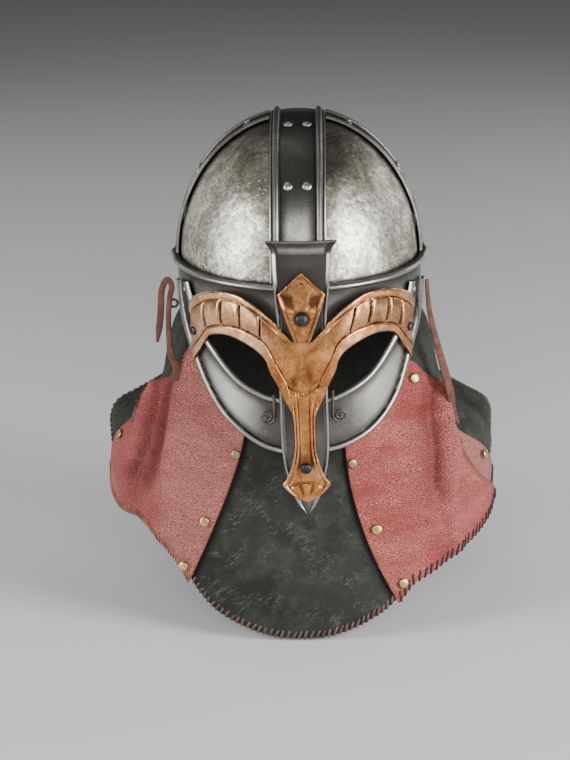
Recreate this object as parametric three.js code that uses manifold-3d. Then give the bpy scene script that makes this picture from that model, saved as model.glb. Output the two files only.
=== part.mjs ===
import * as THREE from 'three';
import { mergeVertices } from 'three/addons/utils/BufferGeometryUtils.js';
import Module from 'manifold-3d';

// Nasal helmet with a leather neck guard, in millimetres, +Z up, the face looks along -Y.
// The origin is the middle of the brow bead, where the helmet sits on the head.
// Left and right are the wearer's: left is +X.

const BROW_HALF_WIDTH = 101.5;
const BROW_HALF_LENGTH = 117;
const DOME_RISE = 115.9;
const DOME_CENTRE_Z = 3;
const BROW_BOTTOM_Z = -42;
const PLATE = 1.5;
const BAND_GAP = 0.8;
const CREST_HALF = 22.5;
const CROSS_HALF = 20;
const BEAD_REACH = 5.2;
const GUARD_BACK = 0.5;
const GUARD_FACE = 2.1;
const GUARD_RIM = 4.7;
const NASAL_BACK = 5.5;
const NASAL_FACE = 7.1;
const NOSE_SHIFT = 2.2;
const NOSE_LEAN = 3.6;
const NOSE_LENGTH = 188;
const MASK_BACK_NOSE = 9.9;
const MASK_BACK_WING = 5.3;
const MASK_PLATE = 1.3;
const LEATHER = 2;
const RED_BACK = 1.6;
const RED_FACE = 3.2;
const DEG = Math.PI / 180;

const wasm = await Module();
wasm.setup();
const part = new THREE.Group();
part.name = 'nasal_helmet';

const finish = (name, color, metalness, roughness) => {
  const material = new THREE.MeshStandardMaterial({ color, metalness, roughness });
  material.name = name;
  return material;
};
const STEEL = finish('steel', 0x8f8d86, 0.9, 0.4);
const DARK_STEEL = finish('dark_steel', 0x3c3b39, 0.9, 0.45);
const COPPER = finish('copper', 0xa8622f, 0.9, 0.4);
const RED = finish('red_leather', 0x9a4642, 0, 0.6);
const DARK = finish('dark_leather', 0x34362f, 0, 0.75);
const BRASS = finish('brass', 0xb09a58, 0.9, 0.4);
const LACE = finish('lace', 0x6b3524, 0, 0.7);

function put(name, geometry, material) {
  const mesh = new THREE.Mesh(geometry, material);
  mesh.name = name;
  part.add(mesh);
}

// Smooth curve through a column of a table: cubic between rows, level past both ends.
function curve(xs, ys, x) {
  const last = xs.length - 1;
  if (x <= xs[0]) return ys[0];
  if (x >= xs[last]) return ys[last];
  let k = 0;
  while (x > xs[k + 1]) k += 1;
  const slope = (i) => {
    if (i === 0 || i === last) return 0;
    return (ys[i + 1] - ys[i - 1]) / (xs[i + 1] - xs[i - 1]);
  };
  const span = xs[k + 1] - xs[k];
  const u = (x - xs[k]) / span;
  const a = ys[k] * (1 + 2 * u) * (1 - u) ** 2 + ys[k + 1] * u * u * (3 - 2 * u);
  return a + span * (slope(k) * u * (1 - u) ** 2 - slope(k + 1) * u * u * (1 - u));
}

const column = (table, key) => table.map((row) => row[key]);
const lerp = (a, b, u) => a + (b - a) * u;
const smooth = (a, b, x) => {
  const u = Math.min(1, Math.max(0, (x - a) / (b - a)));
  return u * u * (3 - 2 * u);
};

// The helmet's own surface: turn is measured from the face, out is the distance outside the brow band.
function shrink(z) {
  if (z <= DOME_CENTRE_Z) return 1;
  return Math.sqrt(Math.max(0, 1 - ((z - DOME_CENTRE_Z) / DOME_RISE) ** 2));
}
function shell(turn, z, out) {
  const f = shrink(z);
  const x = (BROW_HALF_WIDTH * f + out) * Math.sin(turn);
  const y = -(BROW_HALF_LENGTH * f + out) * Math.cos(turn);
  return new THREE.Vector3(x, y, z);
}
function faced(x, z, out, base) {
  const turn = Math.asin(x / (BROW_HALF_WIDTH * shrink(z) + base));
  return shell(turn, z, out);
}

// A closed sheet: rows of [outer point, inner point], joined along the rows and closed at its edges.
function sheet(rows, ring = false) {
  const n = rows[0].length;
  const points = [];
  rows.forEach((row) => row.forEach((pair) => points.push(pair[0], pair[1])));
  const at = (i, j, face) => ((i % rows.length) * n + j) * 2 + face;
  const index = [];
  const quad = (a, b, c, d) => index.push(a, b, c, a, c, d);
  const lastRow = ring ? rows.length : rows.length - 1;
  for (let i = 0; i < lastRow; i += 1) {
    for (let j = 0; j < n - 1; j += 1) {
      quad(at(i, j, 0), at(i + 1, j, 0), at(i + 1, j + 1, 0), at(i, j + 1, 0));
      quad(at(i, j, 1), at(i, j + 1, 1), at(i + 1, j + 1, 1), at(i + 1, j, 1));
    }
    quad(at(i, 0, 0), at(i, 0, 1), at(i + 1, 0, 1), at(i + 1, 0, 0));
    quad(at(i, n - 1, 0), at(i + 1, n - 1, 0), at(i + 1, n - 1, 1), at(i, n - 1, 1));
  }
  if (!ring) {
    const e = rows.length - 1;
    for (let j = 0; j < n - 1; j += 1) {
      quad(at(0, j, 0), at(0, j + 1, 0), at(0, j + 1, 1), at(0, j, 1));
      quad(at(e, j, 0), at(e, j, 1), at(e, j + 1, 1), at(e, j + 1, 0));
    }
  }
  const geometry = new THREE.BufferGeometry().setFromPoints(points);
  geometry.setIndex(index);
  if (volume(geometry) < 0) {
    for (let k = 0; k < index.length; k += 3) {
      [index[k], index[k + 1]] = [index[k + 1], index[k]];
    }
    geometry.setIndex(index);
  }
  return geometry;
}

function volume(geometry) {
  const p = geometry.getAttribute('position');
  const order = geometry.getIndex();
  const corner = (k) => new THREE.Vector3().fromBufferAttribute(p, order.getX(k));
  let sum = 0;
  for (let k = 0; k < order.count; k += 3) {
    sum += corner(k).dot(corner(k + 1).cross(corner(k + 2)));
  }
  return sum;
}

const steps = (n) => Array.from({ length: n + 1 }, (_, i) => i / n);
const mirrored = (half) => [...half.map(([w, h]) => [-w, h]), ...half.slice().reverse()];

// The face pieces sit a little towards the wearer's left, the foot of the nose most.
function lean(x, z) {
  const weight = 1 - smooth(18, 40, Math.abs(x));
  return x + NOSE_SHIFT + weight * NOSE_LEAN * (Math.max(0, -z) / NOSE_LENGTH) ** 1.5;
}

// Four dome panels, under the bands.
const PANEL_UNDER_CREST = 12;
const PANEL_UNDER_CROSS = 10;
const PANEL_BOTTOM_Z = -8;
const PANEL_TOP_F = 0.2;
function domePanel(side, facing) {
  const out = -PLATE - BAND_GAP;
  const low = Math.asin((PANEL_BOTTOM_Z - DOME_CENTRE_Z) / DOME_RISE);
  const high = Math.acos(PANEL_TOP_F);
  const face = (rise, u, offset) => {
    const a = (BROW_HALF_WIDTH + offset) * Math.cos(rise);
    const b = (BROW_HALF_LENGTH + offset) * Math.cos(rise);
    const turn = lerp(Math.asin(PANEL_UNDER_CREST / a), Math.acos(PANEL_UNDER_CROSS / b), u);
    const z = DOME_CENTRE_Z + (DOME_RISE + offset) * Math.sin(rise);
    return new THREE.Vector3(side * a * Math.sin(turn), facing * b * Math.cos(turn), z);
  };
  return sheet(steps(7).map((v) => steps(7).map((u) => {
    const rise = lerp(low, high, v);
    return [face(rise, u, out), face(rise, u, out - PLATE)];
  })));
}
put('dome_panel_front_left', domePanel(1, -1), STEEL);
put('dome_panel_front_right', domePanel(-1, -1), STEEL);
put('dome_panel_back_left', domePanel(1, 1), STEEL);
put('dome_panel_back_right', domePanel(-1, 1), STEEL);

// Crest band from brow to nape, recessed strip between two half-round beads with a thin lip outside.
const BAND_END_Z = 3.4;
const CREST_PROFILE = mirrored([[22.5, 0.8], [20.3, 0.3], [19.4, 2.4], [17.2, 3.3], [14.6, 0]]);
function crestPoint(x, rise, out) {
  const k = Math.sqrt(1 - (x / (BROW_HALF_WIDTH + out)) ** 2);
  const y = -(BROW_HALF_LENGTH + out) * k * Math.cos(rise);
  const z = DOME_CENTRE_Z + (DOME_RISE + out) * k * Math.sin(rise);
  return new THREE.Vector3(x, y, z);
}
const bandLow = Math.asin((BAND_END_Z - DOME_CENTRE_Z) / DOME_RISE);
put('crest_band', sheet(steps(20).map((u) => CREST_PROFILE.map(([x, h]) => {
  const rise = lerp(bandLow, Math.PI - bandLow, u);
  return [crestPoint(x, rise, h), crestPoint(x, rise, -PLATE)];
}))), STEEL);

// Cross bands from the crest band down to each ear, narrower towards the crest.
const CROSS_PROFILE = mirrored([[20, 0.6], [18, 2.2], [15.4, 0]]);
const CROSS_TAPER = 0.28;
function crossBand(side) {
  const place = (wide, u, out) => {
    const y = wide * (1 - CROSS_TAPER * smooth(0.3, 1, u));
    const k = Math.sqrt(1 - (y / (BROW_HALF_LENGTH + out)) ** 2);
    const a = (BROW_HALF_WIDTH + out) * k;
    const rise = lerp(bandLow, Math.acos((CREST_HALF + 0.6) / a), u);
    const z = DOME_CENTRE_Z + (DOME_RISE + out) * k * Math.sin(rise);
    return new THREE.Vector3(side * a * Math.cos(rise), y, z);
  };
  return sheet(steps(9).map((u) => CROSS_PROFILE.map(([y, h]) => [place(y, u, h), place(y, u, -PLATE)])));
}
put('cross_band_left', crossBand(1), STEEL);
put('cross_band_right', crossBand(-1), STEEL);

// Brow band, one ring with a half-round bead along its top.
const BROW_PROFILE = [[-42, 0], [-2.7, 0.2], [-1.9, 4.2], [0, BEAD_REACH], [1.9, 4.2], [2.6, 0.6]];
put('brow_band', sheet(steps(39).map((u) => BROW_PROFILE.map(([z, h], j) => {
  const turn = (u * 39 / 40) * 2 * Math.PI;
  const back = lerp(BROW_BOTTOM_Z, 2.4, j / (BROW_PROFILE.length - 1));
  const outer = shell(turn, 0, h).setZ(z);
  return [outer, shell(turn, 0, -PLATE).setZ(back)];
})), true), STEEL);

// Eye guards: one strip a side from the brow down the cheek and round under the eye, rims on both edges.
const GUARD_RIGHT = [
  { eyeX: 90, eyeZ: -9.4, rimX: 100.8, rimZ: -14 },
  { eyeX: 87.4, eyeZ: -18, rimX: 100, rimZ: -25 },
  { eyeX: 84, eyeZ: -30, rimX: 98, rimZ: -38 },
  { eyeX: 79.5, eyeZ: -42, rimX: 95, rimZ: -50 },
  { eyeX: 74, eyeZ: -50.5, rimX: 91, rimZ: -61 },
  { eyeX: 68, eyeZ: -57.5, rimX: 86.5, rimZ: -72 },
  { eyeX: 61.7, eyeZ: -65, rimX: 80.5, rimZ: -85 },
  { eyeX: 54, eyeZ: -73, rimX: 72.5, rimZ: -99 },
  { eyeX: 45, eyeZ: -80.2, rimX: 62, rimZ: -112.5 },
  { eyeX: 34, eyeZ: -85.5, rimX: 46.5, rimZ: -125 },
  { eyeX: 24, eyeZ: -89, rimX: 30, rimZ: -134 },
  { eyeX: 13, eyeZ: -90.5, rimX: 13, rimZ: -138 },
];
const GUARD_LEFT = [
  { eyeX: 90, eyeZ: -11, rimX: 103, rimZ: -17 },
  { eyeX: 88, eyeZ: -20, rimX: 102.2, rimZ: -30 },
  { eyeX: 85, eyeZ: -31, rimX: 99.8, rimZ: -45.5 },
  { eyeX: 80.5, eyeZ: -43, rimX: 95.3, rimZ: -60 },
  { eyeX: 75, eyeZ: -52.3, rimX: 91.3, rimZ: -72 },
  { eyeX: 69, eyeZ: -60.6, rimX: 86.8, rimZ: -86 },
  { eyeX: 63, eyeZ: -68.5, rimX: 80.5, rimZ: -101 },
  { eyeX: 55.5, eyeZ: -76, rimX: 71.5, rimZ: -114 },
  { eyeX: 46, eyeZ: -82, rimX: 60, rimZ: -124.5 },
  { eyeX: 35, eyeZ: -87, rimX: 45.5, rimZ: -132 },
  { eyeX: 24.5, eyeZ: -90.5, rimX: 30, rimZ: -136.3 },
  { eyeX: 13, eyeZ: -91.5, rimX: 13, rimZ: -138 },
];
const RIM_STEPS = [[0, 2.6], [1, GUARD_RIM], [2.8, GUARD_RIM], [4.2, GUARD_FACE]];
function eyeGuard(table, side) {
  return sheet(table.map((row) => {
    const width = Math.hypot(row.rimX - row.eyeX, row.rimZ - row.eyeZ);
    const near = RIM_STEPS.map(([w, h]) => [w / width, h]);
    const far = RIM_STEPS.slice().reverse().map(([w, h]) => [1 - w / width, h]);
    return [...near, ...far].map(([v, h]) => {
      const x = side * lerp(row.eyeX, row.rimX, v);
      const z = lerp(row.eyeZ, row.rimZ, v);
      return [faced(x, z, h, 3), faced(x, z, GUARD_BACK, 3)];
    });
  }));
}
put('eye_guard_left', eyeGuard(GUARD_LEFT, 1), STEEL);
put('eye_guard_right', eyeGuard(GUARD_RIGHT, -1), STEEL);

// Nasal bar: a channel with raised flanges, a flared lip at its top and a ridged point at its foot.
const NASAL = [
  { z: 39.6, half: 26, flare: 9, flange: 0.6, ridge: 0 },
  { z: 37.2, half: 25.7, flare: 6.5, flange: 0.6, ridge: 0 },
  { z: 33, half: 24, flare: 2.2, flange: 1.4, ridge: 0 },
  { z: 28.5, half: 23.5, flare: 0, flange: 2.3, ridge: 0 },
  { z: 16, half: 23, flare: 0, flange: 2.3, ridge: 0 },
  { z: 0, half: 21.8, flare: 0, flange: 2.3, ridge: 0 },
  { z: -28, half: 19.6, flare: 0, flange: 2.3, ridge: 0 },
  { z: -80, half: 19.2, flare: 0, flange: 2.3, ridge: 0 },
  { z: -126, half: 19.2, flare: 0, flange: 2.3, ridge: 0 },
  { z: -142, half: 18, flare: 0, flange: 2.2, ridge: 0.2 },
  { z: -153, half: 16, flare: 0, flange: 1.8, ridge: 0.6 },
  { z: -171, half: 11.2, flare: 0, flange: 1, ridge: 1.2 },
  { z: -181, half: 6.4, flare: 0, flange: 0.6, ridge: 1.8 },
  { z: -188, half: 1.6, flare: 0, flange: 0.4, ridge: 0.8 },
];
put('nasal_bar', sheet(NASAL.map((row) => {
  const inset = Math.min(2.2, row.half * 0.2);
  const foot = Math.min(3.6, row.half * 0.4);
  const half = [[row.half, row.flange], [row.half - inset, row.flange], [row.half - foot, 0]];
  const across = [...half.map(([w, h]) => [-w, h]), [0, row.ridge], ...half.slice().reverse()];
  return across.map(([x, h]) => {
    const at = lean(x, row.z);
    const outer = faced(at, row.z, NASAL_FACE + row.flare + h, NASAL_FACE);
    return [outer, faced(at, row.z, NASAL_BACK + row.flare, NASAL_FACE)];
  });
})), STEEL);

// Copper mask: two arched wings running into the nose strip, and a five-sided crest above the fork.
const MASK_HALF = [
  { upX: 90, upZ: -23, lowX: 88.9, lowZ: -74 },
  { upX: 87.4, upZ: -18.6, lowX: 86, lowZ: -67.4 },
  { upX: 83, upZ: -14.5, lowX: 81.6, lowZ: -59.5 },
  { upX: 77.5, upZ: -11, lowX: 75, lowZ: -47.2 },
  { upX: 69.5, upZ: -7.9, lowX: 67.6, lowZ: -43.1 },
  { upX: 60, upZ: -6, lowX: 59, lowZ: -41.8 },
  { upX: 50, upZ: -6.7, lowX: 50.2, lowZ: -43.3 },
  { upX: 41, upZ: -10.3, lowX: 42, lowZ: -46.4 },
  { upX: 33, upZ: -15.6, lowX: 34, lowZ: -51.1 },
  { upX: 26, upZ: -21.4, lowX: 28.4, lowZ: -57.8 },
  { upX: 19.6, upZ: -28, lowX: 26, lowZ: -66 },
  { upX: 13, upZ: -35.6, lowX: 22.6, lowZ: -73 },
  { upX: 6.6, upZ: -42.6, lowX: 19, lowZ: -80 },
  { upX: -0.4, upZ: -51, lowX: 15.4, lowZ: -89 },
  { upX: -0.4, upZ: -76, lowX: 11.4, lowZ: -96.6 },
  { upX: -0.4, upZ: -98, lowX: 8.8, lowZ: -105 },
  { upX: -0.4, upZ: -117, lowX: 8.3, lowZ: -118 },
  { upX: -0.4, upZ: -132, lowX: 8.6, lowZ: -132 },
  { upX: -0.4, upZ: -145, lowX: 11.4, lowZ: -145 },
  { upX: -0.4, upZ: -156, lowX: 15.6, lowZ: -156 },
  { upX: -0.4, upZ: -163, lowX: 18.8, lowZ: -162.4 },
  { upX: -0.4, upZ: -170, lowX: 11.6, lowZ: -170.2 },
  { upX: -0.4, upZ: -176, lowX: 1.6, lowZ: -175.7 },
];
const MASK_SHOULDER = 0.9;
const MASK_BULGE = 1.7;
function maskBack(x) {
  return lerp(MASK_BACK_NOSE, MASK_BACK_WING, smooth(27, 68, Math.abs(x)));
}
const MASK_ACROSS = [[0, 0], [0.06, MASK_SHOULDER], [0.15, MASK_SHOULDER], [0.3, 0.4], [0.52, MASK_BULGE],
  [0.78, 0.5], [0.86, MASK_SHOULDER], [1, 0]];
function maskPoint(x, z, raise) {
  const back = maskBack(x);
  const at = lean(x, z);
  return [faced(at, z, back + MASK_PLATE + raise, back), faced(at, z, back, back)];
}
function maskHalf(side) {
  return sheet(MASK_HALF.map((row, i) => MASK_ACROSS.map(([v, h]) => {
    const x = side * lerp(row.upX, row.lowX, v);
    const ends = i < 2 || i > 18 ? 0.4 : 1;
    return maskPoint(x, lerp(row.upZ, row.lowZ, v), h * ends);
  })));
}
const MASK_CREST = [
  { z: 15, half: 1 },
  { z: 6, half: 9.8 },
  { z: -3.2, half: 18.7 },
  { z: -15.7, half: 15.2 },
  { z: -29.5, half: 10.6 },
  { z: -41.5, half: 6.1 },
  { z: -52, half: 4.2 },
];
const maskCrest = sheet(MASK_CREST.map(({ z, half }) => {
  const across = [[-1, 0], [-0.8, 0.9], [-0.5, 0.1], [0, 1.1], [0.5, 0.1], [0.8, 0.9], [1, 0]];
  return across.map(([w, h]) => maskPoint(w * half, z, h));
}));
function solid(geometry) {
  const clean = geometry.clone();
  clean.deleteAttribute('normal');
  clean.deleteAttribute('uv');
  const joined = mergeVertices(clean, 1e-4);
  const vertProperties = new Float32Array(joined.getAttribute('position').array);
  const triVerts = new Uint32Array(joined.getIndex().array);
  return new wasm.Manifold(new wasm.Mesh({ numProp: 3, vertProperties, triVerts }));
}
function fromSolid(body) {
  const mesh = body.getMesh();
  const geometry = new THREE.BufferGeometry();
  const array = new Float32Array(mesh.vertProperties);
  geometry.setAttribute('position', new THREE.BufferAttribute(array, 3));
  geometry.setIndex(new THREE.BufferAttribute(new Uint32Array(mesh.triVerts), 1));
  return geometry;
}
const mask = solid(maskHalf(1)).add(solid(maskHalf(-1))).add(solid(maskCrest));
put('copper_mask', fromSolid(mask), COPPER);

// Scroll hooks: a wire over the eye rim that drops beside the nose and curls up into a spiral.
const WIRE = 0.95;
const HOOK_OUT = 6.3;
const round = (radius, sides) => {
  const corner = (k) => new THREE.Vector2(
    radius * Math.cos(k * 2 * Math.PI / sides), radius * Math.sin(k * 2 * Math.PI / sides));
  return new THREE.Shape(Array.from({ length: sides }, (_, k) => corner(k)));
};
const along = (points, shape, n) => {
  const path = new THREE.CatmullRomCurve3(points);
  return new THREE.ExtrudeGeometry(shape, { extrudePath: path, steps: n, bevelEnabled: false });
};
function scrollHook(side, x, topZ, curlZ) {
  const points = [faced(side * x, topZ, HOOK_OUT, HOOK_OUT), faced(side * x, topZ - 8, HOOK_OUT, HOOK_OUT)];
  for (let k = 0; k <= 14; k += 1) {
    const angle = Math.PI + k * 34 * DEG;
    const r = lerp(5.6, 2, k / 14);
    points.push(faced(side * (x + 5.6 + r * Math.cos(angle)), curlZ + r * Math.sin(angle), HOOK_OUT, HOOK_OUT));
  }
  return along(points, round(WIRE, 6), 22);
}
put('scroll_hook_left', scrollHook(1, 26.6, -84, -105.5), DARK_STEEL);
put('scroll_hook_right', scrollHook(-1, 20.4, -87, -106.5), DARK_STEEL);

// How far the leather hangs outside the brow band, by distance below the guards and turn from the face.
const DRAPE_TURNS = [0, 22, 45, 60, 75, 90, 108, 135, 180];
const DRAPE = [
  { below: 0, out: [-4.2, -4.2, -4.2, -4.2, -4, -3.2, -3, -3, -3] },
  { below: 10, out: [-3.8, -3.7, -2.6, -1.6, -0.6, 2.4, 2.6, 1.2, 0] },
  { below: 20, out: [-3.2, -2.6, 0.8, 3.2, 4.6, 7, 7, 4, 2] },
  { below: 40, out: [-1, 0.6, 8, 12, 12, 12, 12, 8, 4] },
  { below: 60, out: [2, 5, 16, 22, 20, 15.5, 16, 13, 7] },
  { below: 80, out: [5, 9, 22, 31, 32, 24, 27, 22, 12] },
  { below: 90, out: [6.5, 11, 24.5, 34, 37.5, 39, 47, 29, 16] },
  { below: 100, out: [8, 13, 27, 37, 43, 54, 66, 36, 20] },
  { below: 120, out: [10, 17, 31, 42, 51, 60, 71, 45, 26] },
  { below: 150, out: [13, 21, 36, 47, 56, 62, 72, 52, 32] },
  { below: 185, out: [16, 25, 40, 51, 59, 64, 73, 56, 36] },
];
const rimTable = (table) => {
  const rows = table.slice().reverse().map((row) => ({
    turn: Math.asin(row.rimX / (BROW_HALF_WIDTH + 3)) / DEG,
    z: Math.min(row.rimZ, BROW_BOTTOM_Z - 2),
  }));
  return { turns: [0, ...column(rows, 'turn'), 90], zs: [-138, ...column(rows, 'z'), BROW_BOTTOM_Z - 2] };
};
const RIMS = { left: rimTable(GUARD_LEFT), right: rimTable(GUARD_RIGHT) };
function rimZ(turn, side) {
  const rim = side > 0 ? RIMS.left : RIMS.right;
  return curve(rim.turns, rim.zs, Math.min(90, turn));
}
function drape(turn, z, side) {
  const below = Math.max(0, rimZ(turn, side) - z);
  const belows = column(DRAPE, 'below');
  const outs = DRAPE_TURNS.map((_, k) => curve(belows, DRAPE.map((row) => row.out[k]), below));
  return curve(DRAPE_TURNS, outs, turn);
}
function hanging(turn, z, side, extra) {
  const out = drape(turn, z, side) + extra;
  return shell(side * turn * DEG, Math.min(z, 0), out).setZ(z);
}

// Neck curtain: dark leather from cheek to cheek round the back.
const CURTAIN = [
  { turn: 47.5, tuck: 9, hem: -216 },
  { turn: 60, tuck: 9, hem: -198 },
  { turn: 75, tuck: 15, hem: -193 },
  { turn: 85, tuck: 17, hem: -180 },
  { turn: 92, tuck: 17, hem: -167 },
  { turn: 97, tuck: 17, hem: -158 },
  { turn: 101, tuck: 17, hem: -149 },
  { turn: 104, tuck: 17, hem: -138 },
  { turn: 108, tuck: 17, hem: -132 },
  { turn: 116, tuck: 17, hem: -131 },
  { turn: 124, tuck: 17, hem: -141 },
  { turn: 132, tuck: 17, hem: -165 },
  { turn: 145, tuck: 17, hem: -188 },
  { turn: 160, tuck: 17, hem: -198 },
  { turn: 180, tuck: 17, hem: -201 },
];
function strip(turn, side, tuck, hemZ, rows) {
  const leaveZ = rimZ(turn, side) - 1;
  const levels = [leaveZ + 1 + tuck, ...steps(rows - 1).map((v) => lerp(leaveZ, hemZ, v))];
  return levels.map((z) => [hanging(turn, z, side, 0), hanging(turn, z, side, -LEATHER)]);
}
function curtainRow(u) {
  const swing = lerp(-132.5, 132.5, u);
  const side = swing < 0 ? 1 : -1;
  const turn = 180 - Math.abs(swing);
  const turns = column(CURTAIN, 'turn');
  const tuck = curve(turns, column(CURTAIN, 'tuck'), turn);
  return strip(turn, side, tuck, curve(turns, column(CURTAIN, 'hem'), turn), 9);
}
put('neck_curtain', sheet(steps(32).map(curtainRow)), DARK);

// Bib: dark leather hanging from under the guards down the chest.
const BIB = [
  { turn: 0, hem: -295 },
  { turn: 10, hem: -293.5 },
  { turn: 20, hem: -287.5 },
  { turn: 28, hem: -279.5 },
  { turn: 34, hem: -271 },
  { turn: 40, hem: -257 },
  { turn: 46, hem: -240 },
];
function bibRow(u) {
  const swing = lerp(-46, 46, u);
  const side = swing < 0 ? -1 : 1;
  const turn = Math.abs(swing);
  const hem = curve(column(BIB, 'turn'), column(BIB, 'hem'), turn);
  return strip(turn, side, 9, hem, 8);
}
put('bib', sheet(steps(14).map(bibRow)), DARK);

// Red panels: one a side over the seam of bib and curtain, with two soft folds and a valley between.
const RED_RIGHT = [
  { topTurn: 26, topZ: -119, hemTurn: 42.2, hemZ: -251, bow: -0.8 },
  { topTurn: 31, topZ: -113, hemTurn: 44, hemZ: -244, bow: -0.3 },
  { topTurn: 38, topZ: -98, hemTurn: 47.2, hemZ: -234, bow: 0 },
  { topTurn: 45, topZ: -86, hemTurn: 51, hemZ: -223, bow: 0 },
  { topTurn: 53, topZ: -72, hemTurn: 55, hemZ: -215, bow: 0 },
  { topTurn: 61.5, topZ: -60, hemTurn: 58, hemZ: -210.5, bow: 0 },
  { topTurn: 65.5, topZ: -90, hemTurn: 60.5, hemZ: -208.5, bow: -0.5 },
  { topTurn: 75.5, topZ: -104, hemTurn: 64, hemZ: -206.5, bow: -3 },
  { topTurn: 72, topZ: -121, hemTurn: 68.5, hemZ: -206, bow: 0 },
  { topTurn: 79, topZ: -141, hemTurn: 77.5, hemZ: -202.5, bow: 0 },
  { topTurn: 85, topZ: -163, hemTurn: 88, hemZ: -188, bow: 0 },
];
const RED_LEFT = [
  { topTurn: 21.3, topZ: -126, hemTurn: 36.7, hemZ: -269, bow: -3.5 },
  { topTurn: 27, topZ: -122, hemTurn: 39, hemZ: -263, bow: -2.5 },
  { topTurn: 34, topZ: -116, hemTurn: 42.5, hemZ: -254, bow: -1.5 },
  { topTurn: 42, topZ: -106, hemTurn: 46.8, hemZ: -249.5, bow: 0 },
  { topTurn: 50, topZ: -94, hemTurn: 52, hemZ: -243.5, bow: 0 },
  { topTurn: 57, topZ: -80, hemTurn: 57, hemZ: -238, bow: 0 },
  { topTurn: 62.5, topZ: -79.5, hemTurn: 60.5, hemZ: -234, bow: -0.5 },
  { topTurn: 70.7, topZ: -104, hemTurn: 64.5, hemZ: -231, bow: -1.5 },
  { topTurn: 68.6, topZ: -138, hemTurn: 69, hemZ: -227.5, bow: 0 },
  { topTurn: 74.5, topZ: -153.5, hemTurn: 77, hemZ: -217, bow: 0 },
  { topTurn: 85.5, topZ: -180, hemTurn: 88, hemZ: -194, bow: 0 },
];
const FOLD_FRONT = 54;
const FOLD_REAR = 77;
function fold(turn, z, side) {
  const below = rimZ(turn, side) - z;
  const reach = smooth(14, 70, below) * (1 - 0.5 * smooth(110, 160, below));
  const front = 4 * Math.exp(-(((turn - FOLD_FRONT) / 7) ** 2));
  const rear = 3.5 * Math.exp(-(((turn - FOLD_REAR) / 7) ** 2));
  return reach * (front + rear);
}
function redPoint(turn, z, side) {
  const lift = fold(turn, z, side);
  return [hanging(turn, z, side, RED_FACE + lift), hanging(turn, z, side, RED_BACK + lift)];
}
function redPanel(table, side) {
  return sheet(table.map((row) => steps(11).map((v) => {
    const bow = row.bow * 4 * v * (1 - v);
    const turn = lerp(row.topTurn, row.hemTurn, v) + bow;
    return redPoint(turn, lerp(row.topZ, row.hemZ, v), side);
  })));
}
put('red_panel_left', redPanel(RED_LEFT, 1), RED);
put('red_panel_right', redPanel(RED_RIGHT, -1), RED);

// A small iron ring beside the right cheek, and the flat leather thongs on both sides.
const RING_RADIUS = 3.2;
const RING_WIRE = 1;
const ring = new THREE.TorusGeometry(RING_RADIUS, RING_WIRE, 6, 12);
ring.rotateX(Math.PI / 2);
ring.translate(-103.8, -41, -33);
put('thong_ring_right', ring, DARK_STEEL);

const THONG_WIDTH = 6.4;
const THONG_THICK = 1.8;
const THONG_REST_LEFT = 3.80;
const THONG_REST_RIGHT = 2.6;
const flatSection = (width, thick) => new THREE.Shape([[-1, -0.4], [-0.7, -1], [0.7, -1], [1, -0.4], [1, 0.4],
  [0.7, 1], [-0.7, 1], [-1, 0.4]].map(([w, t]) => new THREE.Vector2(t * thick / 2, w * width / 2)));
function resting(turn, z, side) {
  const rest = side > 0 ? THONG_REST_LEFT : THONG_REST_RIGHT;
  return hanging(turn, z, side, RED_FACE + fold(turn, z, side) + rest);
}
const free = (points) => points.map(([x, y, z]) => new THREE.Vector3(x, y, z));
const THONG_RIGHT = [
  ...free([[-118.2, -44, -65.5], [-115.4, -44, -47], [-114.2, -44, -34], [-113.2, -44, -21], [-108.8, -43.6, -12],
    [-104.8, -44.6, -17.5], [-106.6, -47, -27], [-107.8, -50, -41], [-107.6, -54.6, -59], [-106.2, -58.8, -71.5]]),
  resting(62.6, -84, -1), resting(61.6, -93, -1),
];
const THONG_LEFT = [
  ...free([[104.6, -47, -13], [105.4, -48, -26], [107.4, -49.4, -42], [111.8, -51, -61], [117.2, -53, -81],
    [123.5, -55.6, -104]]),
  resting(68.8, -122, 1), resting(68, -134, 1),
];
put('thong_right', along(THONG_RIGHT, flatSection(THONG_WIDTH, THONG_THICK), 18), LACE);
put('thong_left', along(THONG_LEFT, flatSection(THONG_THICK, THONG_WIDTH), 12), LACE);

// Rivets: domed heads standing on their sheet.
function rivet(name, foot, away, radius, material) {
  const height = radius * 0.55;
  const profile = [[0, 0], [radius, 0], [radius * 0.92, height * 0.45], [radius * 0.55, height * 0.85], [0, height]];
  const head = new THREE.LatheGeometry(profile.map(([r, h]) => new THREE.Vector2(r, h)), 8);
  const turn = new THREE.Quaternion().setFromUnitVectors(new THREE.Vector3(0, 1, 0), away);
  head.applyQuaternion(turn);
  head.translate(foot.x, foot.y, foot.z);
  put(name, head, material);
}
function slope(place) {
  const a = place(-1, 0);
  const b = place(1, 0);
  const c = place(0, -1);
  const d = place(0, 1);
  return b.sub(a).cross(d.sub(c)).normalize();
}
const RIVET_GAP = 0.3;
function rivetOn(name, place, radius, material, lift = RIVET_GAP) {
  const foot = place(0, 0);
  const away = slope(place);
  if (away.dot(new THREE.Vector3(foot.x, foot.y, Math.max(0, foot.z))) < 0) away.negate();
  rivet(name, foot.addScaledVector(away, lift), away, radius, material);
}

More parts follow.
